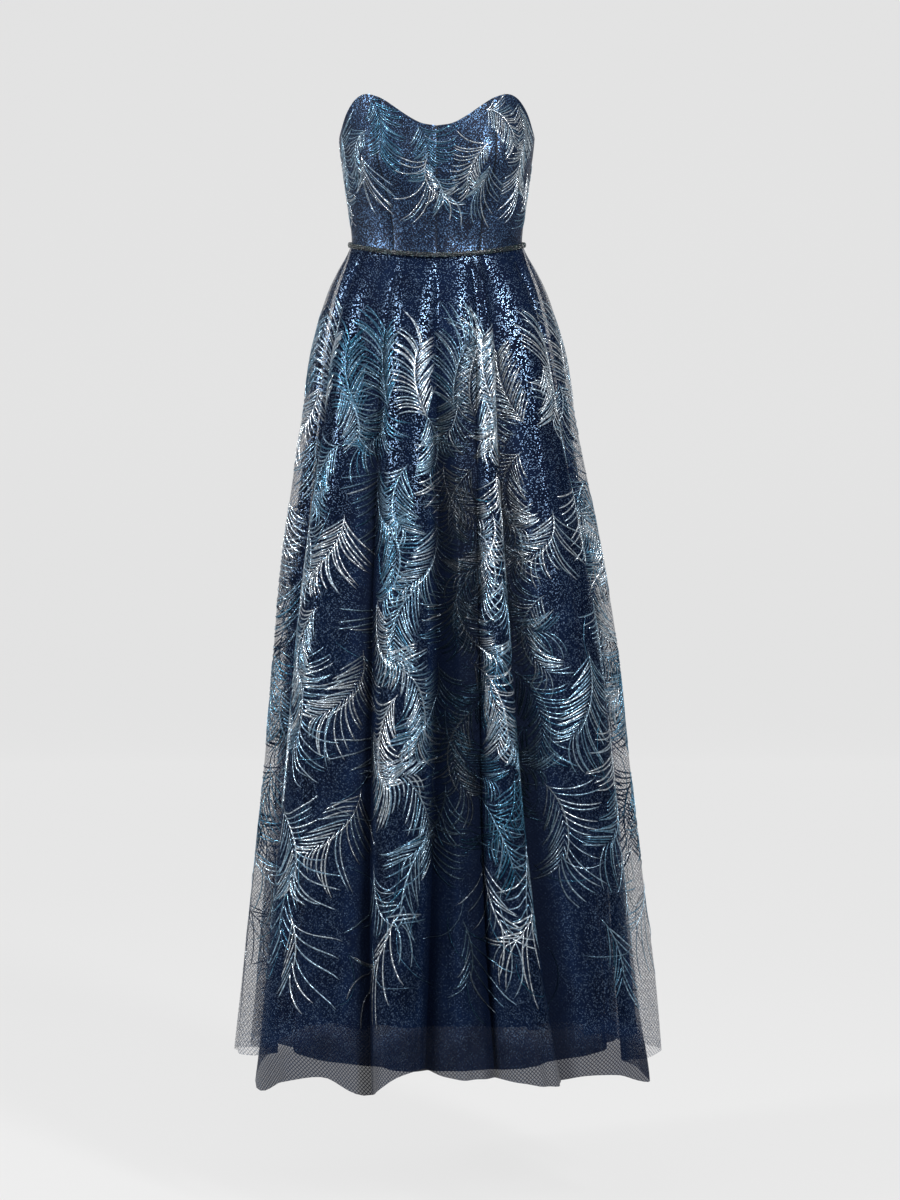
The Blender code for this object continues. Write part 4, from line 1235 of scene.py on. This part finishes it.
def plain_material(name, dark, light, roughness, metallic):
    """A moulded or enamelled finish: two close colours mottled by a noise of 3 mm."""
    material, tree, output = new_material(name)
    place = add(tree, "TexCoord").outputs["Object"]
    cloud = add(tree, "TexNoise", {"Vector": place, "Scale": MOTTLE_SCALE, "Detail": 3.0}).outputs["Fac"]
    colour = add(tree, "ValToRGB", {"Fac": cloud}, [(0.3, dark), (0.7, light)]).outputs["Color"]
    inputs = {"Base Color": colour, "Roughness": roughness, "Metallic": metallic}
    shader = add(tree, "BsdfPrincipled", inputs)
    tree.links.new(shader.outputs[0], output.inputs["Surface"])
    return material


twill = tape_material()
enamel = plain_material("zip metal, navy enamel", "#141D33", "#1E2A46", 0.3, 0.6)
nylon = plain_material("zip coil, nylon", "#0A0F1C", "#10182A", 0.35, 0.0)
for node, finish in (("zip_tape", twill), ("zip_slider", enamel), ("zip_pull", enamel)):
    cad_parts[node].data.materials.clear()
    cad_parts[node].data.materials.append(finish)

corners = np.empty(len(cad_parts["zip_tape"].data.vertices) * 3)
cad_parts["zip_tape"].data.vertices.foreach_get("co", corners)
corners = corners.reshape(-1, 3)
levels = np.unique(corners[:, 2].round(5))
rows = [corners[np.abs(corners[:, 2] - level) < 2e-5] for level in levels]
spine = np.array([[(row[:, 0].min() + row[:, 0].max()) / 2, row[:, 1].max(), row[0, 2]] for row in rows])
inner_face = TAPE_WALL + COIL_RADIUS + COIL_WIRE + COIL_CLEARANCE
for side, word in ((-1, "right"), (1, "left")):
    height = np.arange(spine[0, 2] + 0.004, spine[-1, 2] - 0.002, COIL_PITCH / 10)
    turn = 2 * np.pi * height / COIL_PITCH
    middle = np.stack([np.interp(height, spine[:, 2], spine[:, i]) for i in range(2)], axis=-1)
    path = np.stack(
        [
            middle[:, 0] + side * COIL_APART + COIL_RADIUS * np.cos(turn),
            middle[:, 1] - inner_face + 0.8 * COIL_RADIUS * np.sin(turn),
            height,
        ],
        axis=-1,
    )
    points, faces = tube(path, COIL_WIRE, 5)
    coil = mesh_piece(f"zip_coil_{word}", points, faces, [nylon])
    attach(coil, "gown")
    print(coil.name, len(faces), "faces")

# %% [markdown]
# The studio is a pale grey paper sweep: a floor that curves up into a wall, so that no horizon shows. The
# gown hangs clear of it, as the wearer would hold it. The paper glows a little, which keeps it even: this is
# painted light, in place of lamps shining on it. In front of the gown the painted glow fades, so that the
# folds get no light from below.

# %% Paper sweep
FLOOR_HEIGHT = -1.42
WALL_BACK = 7.0
SWEEP_RADIUS = 1.2
SWEEP_HALF_WIDTH = 6.0
FLOOR_FRONT = -7.0
WALL_TOP = 4.0


def sweep_profile(count):
    """Floor from the front to the start of the bend, a quarter circle, and a wall: y and z of each point."""
    bend = np.linspace(0, np.pi / 2, count)
    y = WALL_BACK - SWEEP_RADIUS + SWEEP_RADIUS * np.sin(bend)
    z = FLOOR_HEIGHT + SWEEP_RADIUS - SWEEP_RADIUS * np.cos(bend)
    bend = np.stack([y, z], axis=-1)
    return np.concatenate([[[FLOOR_FRONT, FLOOR_HEIGHT]], bend, [[WALL_BACK, WALL_TOP]]])


profile = sweep_profile(24)
left = np.column_stack([np.full(len(profile), -SWEEP_HALF_WIDTH), profile])
right = left * [-1, 1, 1]
index = np.arange(len(profile))
quads = np.stack([index[:-1], index[:-1] + len(index), index[1:] + len(index), index[1:]], axis=-1)
paper_material, tree, output = new_material("paper, pale grey")
place = add(tree, "TexCoord").outputs["Object"]
cloud = add(tree, "TexNoise", {"Vector": place, "Scale": 1.5}).outputs["Fac"]
depth = add(tree, "SeparateXYZ", {"Vector": place}).outputs["Y"]
# Painted light: the paper glows, fully behind the gown and faintly in front of it.
glow = {"Value": depth, "From Min": -1.4, "From Max": -0.2, "To Min": 0.20, "To Max": 0.93}
glow = add(tree, "MapRange", glow).outputs["Result"]
colour = add(tree, "ValToRGB", {"Fac": cloud}, [(0.3, "#424242"), (0.7, "#444444")]).outputs["Color"]
inputs = {"Base Color": colour, "Roughness": 0.9}
inputs |= {"Emission Color": linear("#E4E4E4"), "Emission Strength": glow}
tree.links.new(add(tree, "BsdfPrincipled", inputs).outputs[0], output.inputs["Surface"])
paper = mesh_piece("paper_sweep", np.concatenate([left, right]), quads.tolist(), [paper_material])
paper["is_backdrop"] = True
print("paper floor at", FLOOR_HEIGHT)

# %% [markdown]
# The camera stands 4.5 m in front, level with the hips, and looks slightly down to the middle of the picture.
# Its lens takes in 1.776 m of height at that distance. The light is a tall soft box from the front right, a
# narrower one from the left edge, a strip above and a dim grey surround. Tall and narrow lights give long
# soft streaks down the folds and small bright glints on the yarn, and leave the valleys dark; painted glints
# on the yarn and painted shade in the valleys add to both.

# %% Camera and light
CAMERA_PLACE = Vector((0.0, -4.5, -0.2575))
CAMERA_AIM = Vector((0.0192, 0.0, -0.5239))
PICTURE_HEIGHT = 1.776
SENSOR = 36.0
LIGHT_AIM = (0, 0, -0.4)

camera = bpy.data.objects.new("camera", bpy.data.cameras.new("camera"))
camera.location = CAMERA_PLACE
camera.rotation_euler = (CAMERA_AIM - CAMERA_PLACE).to_track_quat("-Z", "Y").to_euler()
camera.data.sensor_fit = "VERTICAL"
camera.data.sensor_height = SENSOR
camera.data.lens = SENSOR * (CAMERA_AIM - CAMERA_PLACE).length / PICTURE_HEIGHT
bpy.context.scene.collection.objects.link(camera)
bpy.context.scene.camera = camera


def soft_box(name, place, aim, width, height, power):
    """A rectangular area light at place, turned to aim."""
    light = bpy.data.lights.new(name, "AREA")
    light.shape = "RECTANGLE"
    light.size = width
    light.size_y = height
    light.energy = power
    lamp = bpy.data.objects.new(name, light)
    lamp.location = place
    lamp.rotation_euler = (Vector(aim) - Vector(place)).to_track_quat("-Z", "Y").to_euler()
    bpy.context.scene.collection.objects.link(lamp)


soft_box("key_right", (1.9, -3.0, 1.5), LIGHT_AIM, 0.5, 1.8, 230)
soft_box("edge_left", (-2.9, -1.2, 0.7), LIGHT_AIM, 0.45, 1.8, 130)
soft_box("strip_above", (-0.3, -0.5, 2.3), LIGHT_AIM, 1.4, 0.4, 25)

world = bpy.data.worlds.new("studio")
world.use_nodes = True
surround = world.node_tree.nodes["Background"].inputs
surround["Color"].default_value = linear("#E3E3E3")
surround["Strength"].default_value = 0.20
bpy.context.scene.world = world
bpy.context.scene.view_settings.view_transform = "Standard"
print("lens", round(camera.data.lens, 1), "mm")

# %% Sizes, and finish
boxes = {"cad": cad_box, "visual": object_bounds()}
boxes = {name: [[float(v) for v in corner] for corner in box] for name, box in boxes.items()}
print(boxes)
